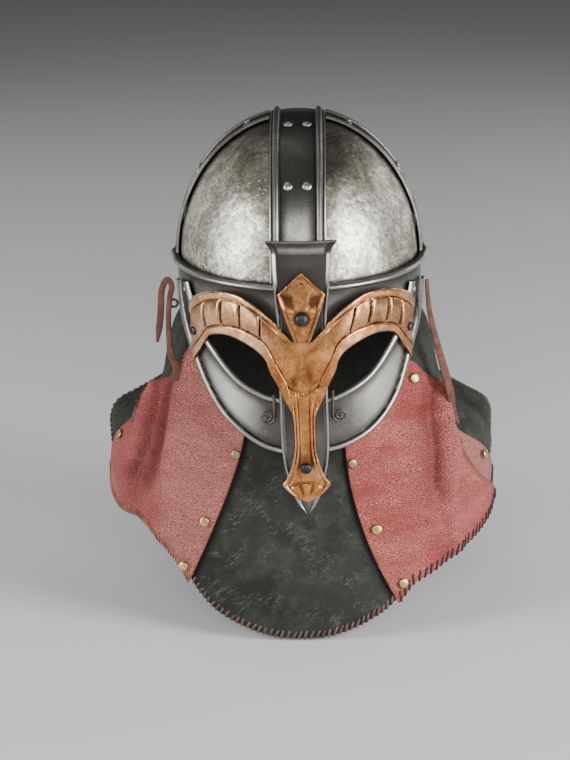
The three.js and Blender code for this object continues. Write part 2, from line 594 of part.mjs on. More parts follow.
const CREST_RIVET_X = 7.6;
const CREST_RIVETS = [
  { name: 'front_low', rise: 39, lift: -0.4 },
  { name: 'front_top', rise: 73, lift: 0.2 },
  { name: 'back_top', rise: 121, lift: -0.4 },
  { name: 'back_low', rise: 150, lift: -0.4 },
];
CREST_RIVETS.forEach(({ name, rise, lift }) => {
  const at = (x) => (p, q) => crestPoint(x + p, (rise + q) * DEG, 0);
  rivetOn(`crest_rivet_${name}_left`, at(CREST_RIVET_X), 4, STEEL, lift);
  rivetOn(`crest_rivet_${name}_right`, at(-CREST_RIVET_X), 4, STEEL, lift);
});
const CROSS_RIVETS = [
  { name: 'top', rise: 66, lift: -0.2 },
  { name: 'low', rise: 36, lift: 0.2 },
];
const CROSS_RIVET_Y = 7;
[['left', 1], ['right', -1]].forEach(([word, side]) => CROSS_RIVETS.forEach(({ name, rise, lift }) => {
  const at = (y0) => (p, q) => {
    const y = y0 + p;
    const k = Math.sqrt(1 - (y / BROW_HALF_LENGTH) ** 2);
    const angle = (rise + q) * DEG;
    const z = DOME_CENTRE_Z + DOME_RISE * k * Math.sin(angle);
    return new THREE.Vector3(side * BROW_HALF_WIDTH * k * Math.cos(angle), y, z);
  };
  rivetOn(`cross_rivet_${name}_front_${word}`, at(-CROSS_RIVET_Y), 3.6, STEEL, lift);
  rivetOn(`cross_rivet_${name}_back_${word}`, at(CROSS_RIVET_Y), 3.6, STEEL, lift);
}));

const onMask = (x0, z0, raise) => (p, q) => maskPoint(x0 + p, z0 + q, raise)[0];
rivetOn('mask_rivet_crest', onMask(0, -22.4, 1.6), 5, DARK_STEEL);
rivetOn('mask_rivet_nose', onMask(0, -147, 1), 4.4, DARK_STEEL);
rivetOn('mask_rivet_left', onMask(86, -46, 1), 3.8, STEEL);
rivetOn('mask_rivet_right', onMask(-86, -46, 1), 3.8, STEEL);

const onGuard = (x0, z0) => (p, q) => faced(x0 + p, z0 + q, GUARD_FACE, 3);
rivetOn('guard_rivet_left', onGuard(94.6, -20), 2.3, STEEL);
rivetOn('guard_rivet_right', onGuard(-94, -17.8), 2.3, STEEL);

const onRed = (turn, z, side) => (p, q) => redPoint(turn + p, z + q, side)[0];
const BRASS_LEFT = [
  { name: 'cheek', turn: 60.4, z: -93.5, lift: 0.5 },
  { name: 'inner', turn: 24.2, z: -151, lift: 0.9 },
  { name: 'seam', turn: 31.4, z: -206, lift: 0.9 },
  { name: 'point', turn: 38.6, z: -252.5, lift: 0.9 },
  { name: 'rear', turn: 75.5, z: -166.5, lift: -0.05 },
];
const BRASS_RIGHT = [
  { name: 'inner', turn: 30.2, z: -144, lift: 0.9 },
  { name: 'seam', turn: 38.8, z: -199.5, lift: 0.9 },
  { name: 'point', turn: 44.2, z: -238.5, lift: 0.9 },
  { name: 'rear', turn: 78, z: -149.5, lift: 0.9 },
];
const brass = (row, word, side) => {
  rivetOn(`brass_rivet_${row.name}_${word}`, onRed(row.turn, row.z, side), 4.2, BRASS, row.lift);
};
BRASS_LEFT.forEach((row) => brass(row, 'left', 1));
BRASS_RIGHT.forEach((row) => brass(row, 'right', -1));

export default part;
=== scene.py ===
import math

import bpy
import numpy as np
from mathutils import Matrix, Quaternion, Vector, noise


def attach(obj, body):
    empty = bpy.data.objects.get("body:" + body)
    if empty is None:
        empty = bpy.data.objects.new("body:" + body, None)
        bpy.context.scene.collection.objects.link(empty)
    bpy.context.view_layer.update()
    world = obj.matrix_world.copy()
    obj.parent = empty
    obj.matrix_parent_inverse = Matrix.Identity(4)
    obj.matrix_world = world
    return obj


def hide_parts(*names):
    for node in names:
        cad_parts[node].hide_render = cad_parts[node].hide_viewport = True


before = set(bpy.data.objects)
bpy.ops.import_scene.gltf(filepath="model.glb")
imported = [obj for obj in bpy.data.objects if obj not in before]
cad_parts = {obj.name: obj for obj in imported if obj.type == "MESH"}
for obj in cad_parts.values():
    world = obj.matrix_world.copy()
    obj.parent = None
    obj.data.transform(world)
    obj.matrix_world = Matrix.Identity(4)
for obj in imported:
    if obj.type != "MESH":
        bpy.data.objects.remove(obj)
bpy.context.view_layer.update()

# Sizes are in millimetres, as on the bench, and go to metres when a piece is laid down.
MM = 0.001
DEG = math.pi / 180
BROW_HALF_WIDTH = 101.5
BROW_HALF_LENGTH = 117.0
DOME_RISE = 115.9
DOME_CENTRE_Z = 3.0
BAND_FOOT = math.asin(0.4 / DOME_RISE)
FACE_SHIFT = 2.2
NOSE_SHIFT = 3.6
NOSE_TOP = 39.6
NOSE_FOOT = 188
BAND_WALL = 1.5
FACE_WALL = 1.6
ROUND_ANGLE = 60


def smooth(a, b, x):
    u = np.clip((x - a) / (b - a), 0, 1)
    return u * u * (3 - 2 * u)


def mix(a, b, u):
    return a + (b - a) * u


def bump(x, middle, width):
    return np.exp(-(((x - middle) / width) ** 2))


def curve(xs, ys, x):
    """A smooth line through a column of a table, level past both ends. Each point may have its own column."""
    xs, ys = np.asarray(xs, float), np.asarray(ys, float)
    x = np.clip(x, xs[0], xs[-1])
    slope = np.zeros_like(ys)
    slope[1:-1] = ((ys[2:] - ys[:-2]).T / (xs[2:] - xs[:-2])).T
    k = np.clip(np.searchsorted(xs, x, side="left") - 1, 0, len(xs) - 2)
    own = tuple(np.indices(x.shape)) if ys.ndim > 1 else ()
    here, after = (k, *own), (k + 1, *own)
    span = xs[k + 1] - xs[k]
    u = (x - xs[k]) / span
    level = ys[here] * (1 + 2 * u) * (1 - u) ** 2 + ys[after] * u * u * (3 - 2 * u)
    return level + span * (slope[here] * u * (1 - u) ** 2 - slope[after] * u * u * (1 - u))


def ripple(points, size, seed):
    """Slow hand-made unevenness, -1 to 1, at points in millimetres."""
    flat = points.reshape(-1, 3) / size + seed
    values = [noise.noise(Vector(p)) for p in flat]
    return np.array(values).reshape(points.shape[:-1])


def run_of(points):
    """Distance along a row of points, at each of them."""
    return np.concatenate([[0], np.cumsum(np.linalg.norm(np.diff(points, axis=0), axis=1))])


# The helmet's own surface: turn from the face, out is the distance outside the brow band.
def narrowing(z):
    return np.sqrt(np.clip(1 - (np.maximum(z - DOME_CENTRE_Z, 0) / DOME_RISE) ** 2, 0, 1))


def shell(turn, z, out):
    f = narrowing(z)
    x = (BROW_HALF_WIDTH * f + out) * np.sin(turn)
    y = -(BROW_HALF_LENGTH * f + out) * np.cos(turn)
    return np.stack([x, y, z + 0 * x], -1)


def faced(x, z, out, base):
    turn = np.arcsin(np.clip(x / (BROW_HALF_WIDTH * narrowing(z) + base), -1, 1))
    return shell(turn, z, out)


def lean(x, z):
    """The face pieces sit a little towards the wearer's left, the foot of the nose most."""
    weight = 1 - smooth(18, 40, np.abs(x))
    return x + FACE_SHIFT + weight * NOSE_SHIFT * (np.maximum(0, -z) / NOSE_FOOT) ** 1.5


# Bench work that every piece shares.
def deselect():
    if bpy.context.object and bpy.context.object.mode != "OBJECT":
        bpy.ops.object.mode_set(mode="OBJECT")
    bpy.ops.object.select_all(action="DESELECT")


def take(piece):
    deselect()
    piece.select_set(True)
    bpy.context.view_layer.objects.active = piece


def open_edit(piece):
    take(piece)
    bpy.ops.object.mode_set(mode="EDIT")
    bpy.ops.mesh.select_all(action="SELECT")


def close_edit():
    bpy.ops.object.mode_set(mode="OBJECT")


def call(piece, name):
    piece.name = name
    piece.data.name = name
    return piece


def corners(piece):
    return np.array([v.co for v in piece.data.vertices])


def blank(name, across, down):
    """A flat blank of across by down cells, with each corner's share of the way (u, v)."""
    deselect()
    bpy.ops.mesh.primitive_grid_add(x_subdivisions=across, y_subdivisions=down, size=2)
    piece = call(bpy.context.object, name)
    co = np.zeros(len(piece.data.vertices) * 3)
    piece.data.vertices.foreach_get("co", co)
    co = co.reshape(-1, 3)
    return piece, (co[:, 0] + 1) / 2, (co[:, 1] + 1) / 2


def lay(piece, points):
    """Lays the blank's corners on the form, and turns its face outwards."""
    piece.data.vertices.foreach_set("co", (points * MM).ravel())
    piece.data.update()
    tally = 0.0
    for face in piece.data.polygons:
        away = Vector((face.center.x, face.center.y, max(face.center.z, 0)))
        tally += face.area * face.normal.dot(away)
    if tally < 0:
        open_edit(piece)
        bpy.ops.mesh.flip_normals()
        close_edit()


def mark(piece, name, values):
    layer = piece.data.attributes.get(name) or piece.data.attributes.new(name, "FLOAT", "POINT")
    layer.data.foreach_set("value", np.asarray(values, np.float32).ravel())


def weld(piece, reach):
    open_edit(piece)
    bpy.ops.mesh.remove_doubles(threshold=reach * MM)
    bpy.ops.mesh.normals_make_consistent(inside=False)
    close_edit()


def finish_modifier(piece, kind, **settings):
    take(piece)
    modifier = piece.modifiers.new(kind.title(), kind)
    for key, value in settings.items():
        setattr(modifier, key, value)
    bpy.ops.object.modifier_apply(modifier=modifier.name)


def thicken(piece, thickness):
    """Gives the sheet its wall, inwards; the inner face takes the second finish."""
    finish_modifier(piece, "SOLIDIFY", thickness=thickness * MM, offset=-1, use_rim=True,
                    material_offset=1, material_offset_rim=0)


def soften(piece, angle=40):
    take(piece)
    bpy.ops.object.shade_smooth_by_angle(angle=math.radians(angle))


def dress(piece, *finishes):
    piece.data.materials.clear()
    for one in finishes:
        piece.data.materials.append(one)


def seat(piece, slot, *nodes):
    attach(piece, "root")
    if nodes:
        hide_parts(*nodes)


def join(pieces, name):
    deselect()
    for piece in pieces:
        piece.select_set(True)
    bpy.context.view_layer.objects.active = pieces[0]
    bpy.ops.object.join()
    return call(pieces[0], name)


def plate(piece, finish, wall, node_name):
    """Finishes a steel strip: its colour outside, black inside, and its wall."""
    dress(piece, finish, INSIDE_STEEL)
    thicken(piece, wall)
    soften(piece)
    seat(piece, "steel", node_name)


# Shader groups that several finishes share.
def new_group(name, outputs, **inputs):
    """A group that takes a place and some numbers, and gives numbers."""
    group = bpy.data.node_groups.new(name, "ShaderNodeTree")
    group.interface.new_socket(name="Place", in_out="INPUT", socket_type="NodeSocketVector")
    for label, value in inputs.items():
        socket = group.interface.new_socket(name=label, in_out="INPUT", socket_type="NodeSocketFloat")
        socket.default_value = value
    for label in outputs:
        group.interface.new_socket(name=label, in_out="OUTPUT", socket_type="NodeSocketFloat")
    return group, group.nodes.new("NodeGroupInput"), group.nodes.new("NodeGroupOutput")


def give(group, gout, **results):
    for label, result in results.items():
        group.links.new(result, gout.inputs[label])
    return group


def node(tree, kind, settings=None, **sockets):
    made = tree.nodes.new(kind)
    for key, value in (settings or {}).items():
        setattr(made, key, value)
    for key, value in sockets.items():
        socket = made.inputs[int(key[1:])] if key[0] == "i" and key[1:].isdigit() else made.inputs[key]
        if isinstance(value, bpy.types.NodeSocket):
            tree.links.new(value, socket)
        else:
            socket.default_value = value
    return made


def sums(tree, operation, a, b=0.0, c=0.0):
    return node(tree, "ShaderNodeMath", {"operation": operation}, i0=a, i1=b, i2=c).outputs[0]


def times(tree, a, b):
    return sums(tree, "MULTIPLY", a, b)


def plus(tree, a, b):
    return sums(tree, "ADD", a, b)


def scaled(tree, value, by, start):
    return sums(tree, "MULTIPLY_ADD", value, by, start)


def ramp(tree, value, low, high, out_low=0.0, out_high=1.0):
    kind = {"interpolation_type": "SMOOTHSTEP"}
    ends = {"From Min": low, "From Max": high, "To Min": out_low, "To Max": out_high}
    return node(tree, "ShaderNodeMapRange", kind, Value=value, **ends).outputs[0]


def blend(tree, share, a, b):
    """Mixes two colours, each a node's result or red, green and blue."""
    a, b = ((*colour, 1) if isinstance(colour, tuple) else colour for colour in (a, b))
    return node(tree, "ShaderNodeMix", {"data_type": "RGBA"}, i0=share, i6=a, i7=b).outputs[2]


def cloud(tree, place, scale, detail=4.0, rough=0.55, twist=0.0):
    return node(tree, "ShaderNodeTexNoise", Vector=place, Scale=scale, Detail=detail, Roughness=rough,
                Distortion=twist).outputs[0]


def wandering(tree, place, by, **sockets):
    """The place, pushed about by a soft noise, so that cells come out uneven."""
    push = node(tree, "ShaderNodeTexNoise", Vector=place, **sockets).outputs[1]
    return node(tree, "ShaderNodeVectorMath", {"operation": "MULTIPLY_ADD"}, i0=push, i1=(by, by, by),
                i2=place).outputs[0]


def stretched(tree, place, x, y, z):
    return node(tree, "ShaderNodeVectorMath", {"operation": "MULTIPLY"}, i0=place, i1=(x, y, z)).outputs[0]


def patina_and_shade_group():
    """Tarnish clouds over painted shade: the shade mark darkens recesses and edges, clouds break it up."""
    group, gin, gout = new_group("patina_and_shade", ("Mask", "Tone"), Shade=0.0, Clouds=0.5, Size=60.0)
    broad = cloud(group, gin.outputs["Place"], gin.outputs["Size"], 6.0, 0.6, 0.4)
    fine = cloud(group, gin.outputs["Place"], times(group, gin.outputs["Size"], 7.0), 5.0, 0.65)
    both = plus(group, times(group, broad, 0.55), times(group, fine, 0.45))
    swing = times(group, sums(group, "SUBTRACT", both, 0.5), gin.outputs["Clouds"])
    mask = plus(group, gin.outputs["Shade"], times(group, swing, 2.0))
    return give(group, gout, Mask=ramp(group, mask, 0.0, 1.0), Tone=both)


def hammer_group():
    """Planishing: shallow round hammer faces, pin-prick rings and a fine tooth."""
    group, gin, gout = new_group("hammer_marks", ("Height", "Rings", "Brush"), Faces=110.0)
    place = gin.outputs["Place"]
    wander = wandering(group, place, 0.006, Scale=90.0)
    faces = node(group, "ShaderNodeTexVoronoi", {"feature": "SMOOTH_F1"}, Vector=wander,
                 Scale=gin.outputs["Faces"], Smoothness=0.6).outputs[0]
    rings = node(group, "ShaderNodeTexVoronoi", Vector=wander, Scale=150.0, Randomness=1.0)
    ring = sums(group, "ABSOLUTE", sums(group, "SUBTRACT", rings.outputs[0], 0.3))
    ring = ramp(group, ring, 0.0, 0.09, 1.0, 0.0)
    gate = ramp(group, cloud(group, place, 45.0, 2.0), 0.46, 0.60)
    ring = times(group, ring, gate)
    brush = cloud(group, stretched(group, place, 900.0, 900.0, 70.0), 1.0, 3.0)
    tooth = cloud(group, place, 700.0, 3.0)
    height = plus(group, times(group, faces, 0.5), times(group, tooth, 0.12))
    height = plus(group, height, times(group, ring, -0.10))
    height = plus(group, height, times(group, brush, 0.08))
    return give(group, gout, Height=height, Rings=ring, Brush=brush)


def hide_group():
    """Leather grain: pebbles drawn out along the hide, creases between them, a soft cloud of tone."""
    group, gin, gout = new_group("hide_grain", ("Height", "Crease", "Tone"), Pebbles=420.0)
    place = gin.outputs["Place"]
    wander = wandering(group, place, 0.010, Scale=55.0, Detail=2.0)
    pebble = node(group, "ShaderNodeTexVoronoi", {"feature": "SMOOTH_F1"}, Vector=wander,
                  Scale=gin.outputs["Pebbles"], Smoothness=0.35).outputs[0]
    edge = node(group, "ShaderNodeTexVoronoi", {"feature": "DISTANCE_TO_EDGE"}, Vector=wander,
                Scale=gin.outputs["Pebbles"]).outputs[0]
    crease = ramp(group, edge, 0.0, 0.16, 1.0, 0.0)
    fine = cloud(group, wander, 1500.0, 3.0)
    height = sums(group, "SUBTRACT", 1.0, pebble)
    height = plus(group, height, times(group, fine, 0.25))
    height = sums(group, "SUBTRACT", height, times(group, crease, 0.35))
    return give(group, gout, Height=height, Crease=crease, Tone=cloud(group, place, 28.0, 5.0, 0.6))


def scuff_group():
    """Rubbed patches and short pale scratches on a dull hide."""
    group, gin, gout = new_group("scuffs", ("Patches", "Scratches", "Nap"), Amount=0.5)
    place = gin.outputs["Place"]
    broad = cloud(group, place, 22.0, 7.0, 0.68, 0.8)
    small = cloud(group, place, 95.0, 5.0, 0.6, 0.5)
    both = plus(group, times(group, broad, 0.6), times(group, small, 0.4))
    patches = ramp(group, both, 0.44, 0.66)
    turned = node(group, "ShaderNodeMapping", Vector=place, Rotation=(0.0, 0.5, 0.3)).outputs[0]
    lines = cloud(group, stretched(group, turned, 90.0, 90.0, 420.0), 1.0, 2.0, 0.5, 0.3)
    thin = ramp(group, sums(group, "ABSOLUTE", sums(group, "SUBTRACT", lines, 0.5)), 0.0, 0.04, 1.0, 0.0)
    gate = ramp(group, cloud(group, place, 60.0, 3.0), 0.48, 0.64)
    return give(group, gout, Patches=times(group, patches, gin.outputs["Amount"]),
                Scratches=times(group, thin, gate), Nap=cloud(group, place, 1300.0, 4.0, 0.65))


PATINA_AND_SHADE = patina_and_shade_group()
HAMMER = hammer_group()
HIDE = hide_group()
SCUFF = scuff_group()


def new_finish(name):
    made = bpy.data.materials.new(name)
    made.use_nodes = True
    tree = made.node_tree
    tree.nodes.clear()
    shader = tree.nodes.new("ShaderNodeBsdfPrincipled")
    out = tree.nodes.new("ShaderNodeOutputMaterial")
    tree.links.new(shader.outputs[0], out.inputs[0])
    place = tree.nodes.new("ShaderNodeTexCoord").outputs["Object"]
    return made, tree, shader, place


def place_group(tree, group, **sockets):
    return node(tree, "ShaderNodeGroup", {"node_tree": group}, **sockets)


def attribute(tree, name):
    return node(tree, "ShaderNodeAttribute", {"attribute_name": name}).outputs["Fac"]


def relief(tree, shader, height, strength, distance):
    made = node(tree, "ShaderNodeBump", Strength=strength, Distance=distance, Height=height)
    tree.links.new(made.outputs[0], shader.inputs["Normal"])


# Colour of a painted highlight on steel.
PAINTED_HIGHLIGHT = (0.88, 0.86, 0.80)
# Brown-grey for real patina near the crest together with painted shade over the crown.
BROWN_PATINA_AND_SHADE = (0.125, 0.108, 0.080)


def metal(name, bright, dull, dark, rough, clouds, size, faces, depth, ring=None, speck=0.0):
    """Worked plate: bright metal that dulls in clouds, goes dark where painted shade is marked, browns where
    crown patina and painted crown shade are marked, and lightens where a painted highlight is marked.
    """
    made, tree, shader, place = new_finish(name)
    shade = attribute(tree, "shade")
    patina_and_shade = place_group(tree, PATINA_AND_SHADE, Place=place, Shade=shade, Clouds=clouds, Size=size)
    marks = place_group(tree, HAMMER, Place=place, Faces=faces)
    base = blend(tree, ramp(tree, patina_and_shade.outputs["Tone"], 0.43, 0.57), bright, dull)
    # Painted highlight: lightens the metal where the highlight mark is set.
    base = blend(tree, times(tree, attribute(tree, "painted_highlight"), patina_and_shade.outputs["Tone"]), base, PAINTED_HIGHLIGHT)
    # Brown patina with painted crown shade.
    brown = scaled(tree, patina_and_shade.outputs["Tone"], 1.6, -0.8)
    brown = times(tree, attribute(tree, "brown"), plus(tree, 0.8, brown))
    base = blend(tree, brown, base, BROWN_PATINA_AND_SHADE)
    base = blend(tree, times(tree, marks.outputs["Rings"], 0.6), base, ring or dull)
    spots = ramp(tree, cloud(tree, place, 330.0, 4.0, 0.62), 0.46, 0.62)
    base = blend(tree, times(tree, spots, speck), base, dull)
    # Painted shade, with tarnish clouds, goes to the dark colour.
    base = blend(tree, patina_and_shade.outputs["Mask"], base, dark)
    tree.links.new(base, shader.inputs["Base Color"])
    spread = scaled(tree, patina_and_shade.outputs["Tone"], 0.34, rough - 0.17)
    spread = scaled(tree, marks.outputs["Brush"], 0.10, spread)
    tree.links.new(scaled(tree, patina_and_shade.outputs["Mask"], 0.12, spread), shader.inputs["Roughness"])
    shader.inputs["Metallic"].default_value = 1.0
    relief(tree, shader, marks.outputs["Height"], depth, 0.0009)
    return made


def copper_finish():
    made, tree, shader, place = new_finish("embossed_copper")
    shade = attribute(tree, "shade")
    rose = attribute(tree, "rose")
    patina_and_shade = place_group(tree, PATINA_AND_SHADE, Place=place, Shade=shade, Clouds=0.34, Size=75.0)
    marks = place_group(tree, HAMMER, Place=place, Faces=160.0)
    tone = ramp(tree, patina_and_shade.outputs["Tone"], 0.40, 0.60)
    warm = blend(tree, tone, (0.72, 0.32, 0.11), (0.43, 0.165, 0.052))
    pink = blend(tree, tone, (0.91, 0.57, 0.34), (0.56, 0.27, 0.12))
    base = blend(tree, rose, warm, pink)
    # Painted shade in grooves, folds and hollows, with patina and tarnish clouds, goes to the dark brown.
    base = blend(tree, patina_and_shade.outputs["Mask"], base, (0.065, 0.026, 0.013))
    tree.links.new(base, shader.inputs["Base Color"])
    spread = scaled(tree, patina_and_shade.outputs["Tone"], 0.24, 0.14)
    tree.links.new(scaled(tree, patina_and_shade.outputs["Mask"], 0.2, spread), shader.inputs["Roughness"])
    shader.inputs["Metallic"].default_value = 1.0
    relief(tree, shader, marks.outputs["Height"], 0.5, 0.0008)
    return made


def red_hide_finish():
    made, tree, shader, place = new_finish("red_pebbled_leather")
    drawn = stretched(tree, place, 0.62, 0.62, 1.25)
    grain = place_group(tree, HIDE, Place=drawn, Pebbles=640.0)
    tone = ramp(tree, grain.outputs["Tone"], 0.36, 0.64)
    base = blend(tree, tone, (0.46, 0.088, 0.075), (0.62, 0.175, 0.145))
    # Paler colour for the tucked flap, and painted light on the ridges and the front face.
    base = blend(tree, attribute(tree, "pale"), base, (0.50, 0.205, 0.165))
    base = blend(tree, times(tree, grain.outputs["Crease"], 0.9), base, (0.17, 0.026, 0.022))
    # Painted shade: cut edges and fold valleys go deep red.
    base = blend(tree, attribute(tree, "shade"), base, (0.14, 0.014, 0.012))
    base = blend(tree, attribute(tree, "raw"), base, (0.27, 0.095, 0.045))
    tree.links.new(base, shader.inputs["Base Color"])
    tree.links.new(scaled(tree, grain.outputs["Crease"], 0.2, 0.42), shader.inputs["Roughness"])
    shader.inputs["Specular IOR Level"].default_value = 0.5
    relief(tree, shader, grain.outputs["Height"], 1.0, 0.0010)
    return made


def dark_hide_finish():
    made, tree, shader, place = new_finish("dark_scuffed_leather")
    rub = place_group(tree, SCUFF, Place=place, Amount=0.8)
    grain = place_group(tree, HIDE, Place=place, Pebbles=900.0)
    tone = ramp(tree, grain.outputs["Tone"], 0.36, 0.64)
    base = blend(tree, tone, (0.011, 0.012, 0.009), (0.021, 0.023, 0.018))
    base = blend(tree, rub.outputs["Patches"], base, (0.045, 0.047, 0.037))
    base = blend(tree, times(tree, rub.outputs["Scratches"], 0.5), base, (0.15, 0.15, 0.12))
    # Painted shade goes near black.
    base = blend(tree, attribute(tree, "shade"), base, (0.006, 0.006, 0.005))
    tree.links.new(base, shader.inputs["Base Color"])
    spread = scaled(tree, rub.outputs["Nap"], 0.25, 0.62)
    tree.links.new(spread, shader.inputs["Roughness"])
    shader.inputs["Specular IOR Level"].default_value = 0.3
    height = plus(tree, times(tree, grain.outputs["Height"], 0.5), rub.outputs["Nap"])
    relief(tree, shader, height, 0.35, 0.0007)
    return made


def lace_finish(name, light, dark, rough=0.6):
    made, tree, shader, place = new_finish(name)
    grain = place_group(tree, HIDE, Place=place, Pebbles=1100.0)
    nap = cloud(tree, place, 160.0, 5.0, 0.6)
    base = blend(tree, ramp(tree, nap, 0.38, 0.62), light, dark)
    tree.links.new(base, shader.inputs["Base Color"])
    tree.links.new(scaled(tree, nap, 0.25, rough - 0.12), shader.inputs["Roughness"])
    relief(tree, shader, grain.outputs["Height"], 0.4, 0.0005)
    return made


PLATE_STEEL = metal("hammered_steel", (0.82, 0.795, 0.655), (0.27, 0.258, 0.20), (0.050, 0.039, 0.030),
                    rough=0.36, clouds=0.6, size=64.0, faces=120.0, depth=1.0,
                    ring=(0.78, 0.75, 0.64), speck=0.85)
BRUSHED_STEEL = metal("brushed_steel", (0.40, 0.39, 0.36), (0.31, 0.30, 0.275), (0.058, 0.053, 0.048),
                      rough=0.31, clouds=0.12, size=70.0, faces=70.0, depth=0.25)
BLACK_STEEL = metal("blackened_steel", (0.075, 0.077, 0.082), (0.045, 0.046, 0.049), (0.014, 0.014, 0.015),
                    rough=0.42, clouds=0.3, size=60.0, faces=70.0, depth=0.25)
INSIDE_STEEL = metal("inside_black", (0.020, 0.020, 0.020), (0.014, 0.014, 0.014), (0.008, 0.008, 0.008),
                     rough=0.75, clouds=0.3, size=60.0, faces=70.0, depth=0.25)
RIVET_STEEL = metal("rivet_steel", (0.62, 0.61, 0.59), (0.45, 0.44, 0.42), (0.08, 0.075, 0.07),
                    rough=0.30, clouds=0.2, size=120.0, faces=240.0, depth=0.25)
WIRE_IRON = metal("wire_iron", (0.17, 0.125, 0.098), (0.10, 0.074, 0.060), (0.03, 0.021, 0.017),
                  rough=0.42, clouds=0.4, size=160.0, faces=300.0, depth=0.3)
BRASS = metal("aged_brass", (0.74, 0.54, 0.22), (0.52, 0.37, 0.14), (0.16, 0.10, 0.035),
              rough=0.32, clouds=0.3, size=150.0, faces=260.0, depth=0.25)
DULL_BRASS = metal("dull_brass", (0.36, 0.28, 0.14), (0.22, 0.16, 0.08), (0.09, 0.06, 0.03),
                   rough=0.45, clouds=0.4, size=150.0, faces=260.0, depth=0.25)
COPPER = copper_finish()
RED_HIDE = red_hide_finish()
DARK_HIDE = dark_hide_finish()
LACE = lace_finish("thong_leather", (0.140, 0.041, 0.020), (0.075, 0.022, 0.011))
DARK_THREAD = lace_finish("dark_lacing", (0.045, 0.018, 0.014), (0.022, 0.010, 0.008))
TAN_THREAD = lace_finish("brown_lacing", (0.150, 0.078, 0.052), (0.070, 0.036, 0.026))
PALE_THREAD = lace_finish("pale_lacing", (0.36, 0.17, 0.115), (0.17, 0.075, 0.050))
HEM_THREAD = lace_finish("hem_lacing", (0.105, 0.088, 0.070), (0.040, 0.034, 0.028))
FLESH_SIDE = lace_finish("flesh_side", (0.012, 0.011, 0.010), (0.007, 0.007, 0.006), 0.85)


# Camera at the photograph's viewing angle, in metres; its focal length was fitted in the picture's pixels.
CAMERA_PLACE = (0.01638, -1.71164, 0.44223)
CAMERA_AIM = (-0.0135, 0.0, -0.114)
CAMERA_ROLL = -0.8
FOCAL_PIXELS = 2103
PICTURE_PIXELS = 760
SENSOR = 36.0


def set_camera():
    deselect()
    bpy.ops.object.camera_add(location=CAMERA_PLACE)
    camera = bpy.context.object
    aim = Vector(CAMERA_AIM) - camera.location
    camera.rotation_mode = "QUATERNION"
    roll = Quaternion((0, 0, 1), math.radians(CAMERA_ROLL))
    camera.rotation_quaternion = aim.to_track_quat("-Z", "Y") @ roll
    camera.data.sensor_fit = "AUTO"
    camera.data.sensor_width = SENSOR
    camera.data.lens = FOCAL_PIXELS * SENSOR / PICTURE_PIXELS
    camera.data.clip_end = 50.0
    camera.data.dof.use_dof = False
    bpy.context.scene.camera = camera


set_camera()


# Eye guards, from the temple to the nose: x and z of the edge at the eye, then of the outer rim.
GUARD_RIGHT = [(90, -9.4, 100.8, -14), (87.4, -18, 100, -25), (84, -30, 98, -38), (79.5, -42, 95, -50),
               (74, -50.5, 91, -61), (68, -57.5, 86.5, -72), (61.7, -65, 80.5, -85), (54, -73, 72.5, -99),
               (45, -80.2, 62, -112.5), (34, -85.5, 46.5, -125), (24, -89, 30, -134), (13, -90.5, 13, -138)]
GUARD_LEFT = [(90, -11, 103, -17), (88, -20, 102.2, -30), (85, -31, 99.8, -45.5), (80.5, -43, 95.3, -60),
              (75, -52.3, 91.3, -72), (69, -60.6, 86.8, -86), (63, -68.5, 80.5, -101),
              (55.5, -76, 71.5, -114), (46, -82, 60, -124.5), (35, -87, 45.5, -132),
              (24.5, -90.5, 30, -136.3), (13, -91.5, 13, -138)]
# How far the leather hangs outside the brow band: a row for each distance below the guards, a column for
# each turn from the face.
DRAPE_TURNS = [0, 22, 45, 60, 75, 90, 108, 135, 180]
DRAPE_BELOW = [0, 10, 20, 40, 60, 80, 90, 100, 120, 150, 185]
DRAPE_OUT = [[-4.2, -4.2, -4.2, -4.2, -4, -3.2, -3, -3, -3], [-3.8, -3.7, -2.6, -1.6, -0.6, 2.4, 2.6, 1.2, 0],
             [-3.2, -2.6, 0.8, 3.2, 4.6, 7, 7, 4, 2], [-1, 0.6, 8, 12, 12, 12, 12, 8, 4],
             [2, 5, 16, 22, 20, 15.5, 16, 13, 7], [5, 9, 22, 31, 32, 24, 27, 22, 12],
             [6.5, 11, 24.5, 34, 37.5, 39, 47, 29, 16], [8, 13, 27, 37, 43, 54, 66, 36, 20],
             [10, 17, 31, 42, 51, 60, 71, 45, 26], [13, 21, 36, 47, 56, 62, 72, 52, 32],
             [16, 25, 40, 51, 59, 64, 73, 56, 36]]
LEATHER = 2.0
RED_BACK = 1.6
RED_FACE = 3.2


GUARD_HALF_WIDTH = 104.5
RIM_FRONT_Z = -138
RIM_SIDE_Z = -44


def rim_table(table):
    """The guard's outer rim as turns from the face and heights, level from the ear on."""
    rows = [(math.asin(x / GUARD_HALF_WIDTH) / DEG, min(z, RIM_SIDE_Z)) for _, _, x, z in reversed(table)]
    return list(zip((0, RIM_FRONT_Z), *rows, (90, RIM_SIDE_Z)))


RIM_LEFT = rim_table(GUARD_LEFT)
RIM_RIGHT = rim_table(GUARD_RIGHT)


def rim_z(turn, side):
    reach = np.minimum(90, turn)
    return np.where(side > 0, curve(*RIM_LEFT, reach), curve(*RIM_RIGHT, reach))


def drape(turn, z, side):
    below = np.maximum(0, rim_z(turn, side) - z)
    outs = np.stack([curve(DRAPE_BELOW, column, below) for column in zip(*DRAPE_OUT)])
    return curve(DRAPE_TURNS, outs, turn)


def hanging(turn, z, side, extra):
    return shell(side * turn * DEG, z, drape(turn, z, side) + extra)


def fold(turn, z, side):
    below = rim_z(turn, side) - z
    reach = smooth(14, 70, below) * (1 - 0.5 * smooth(110, 160, below))
    return reach * (4 * bump(turn, 54, 7) + 3.5 * bump(turn, 77, 7))


def resting(turn, z, side):
    rest = 3.8 if side > 0 else 2.6
    at = (np.array([float(turn)]), np.array([float(z)]), np.array([float(side)]))
    return tuple(hanging(*at, RED_FACE + fold(*at) + rest)[0])


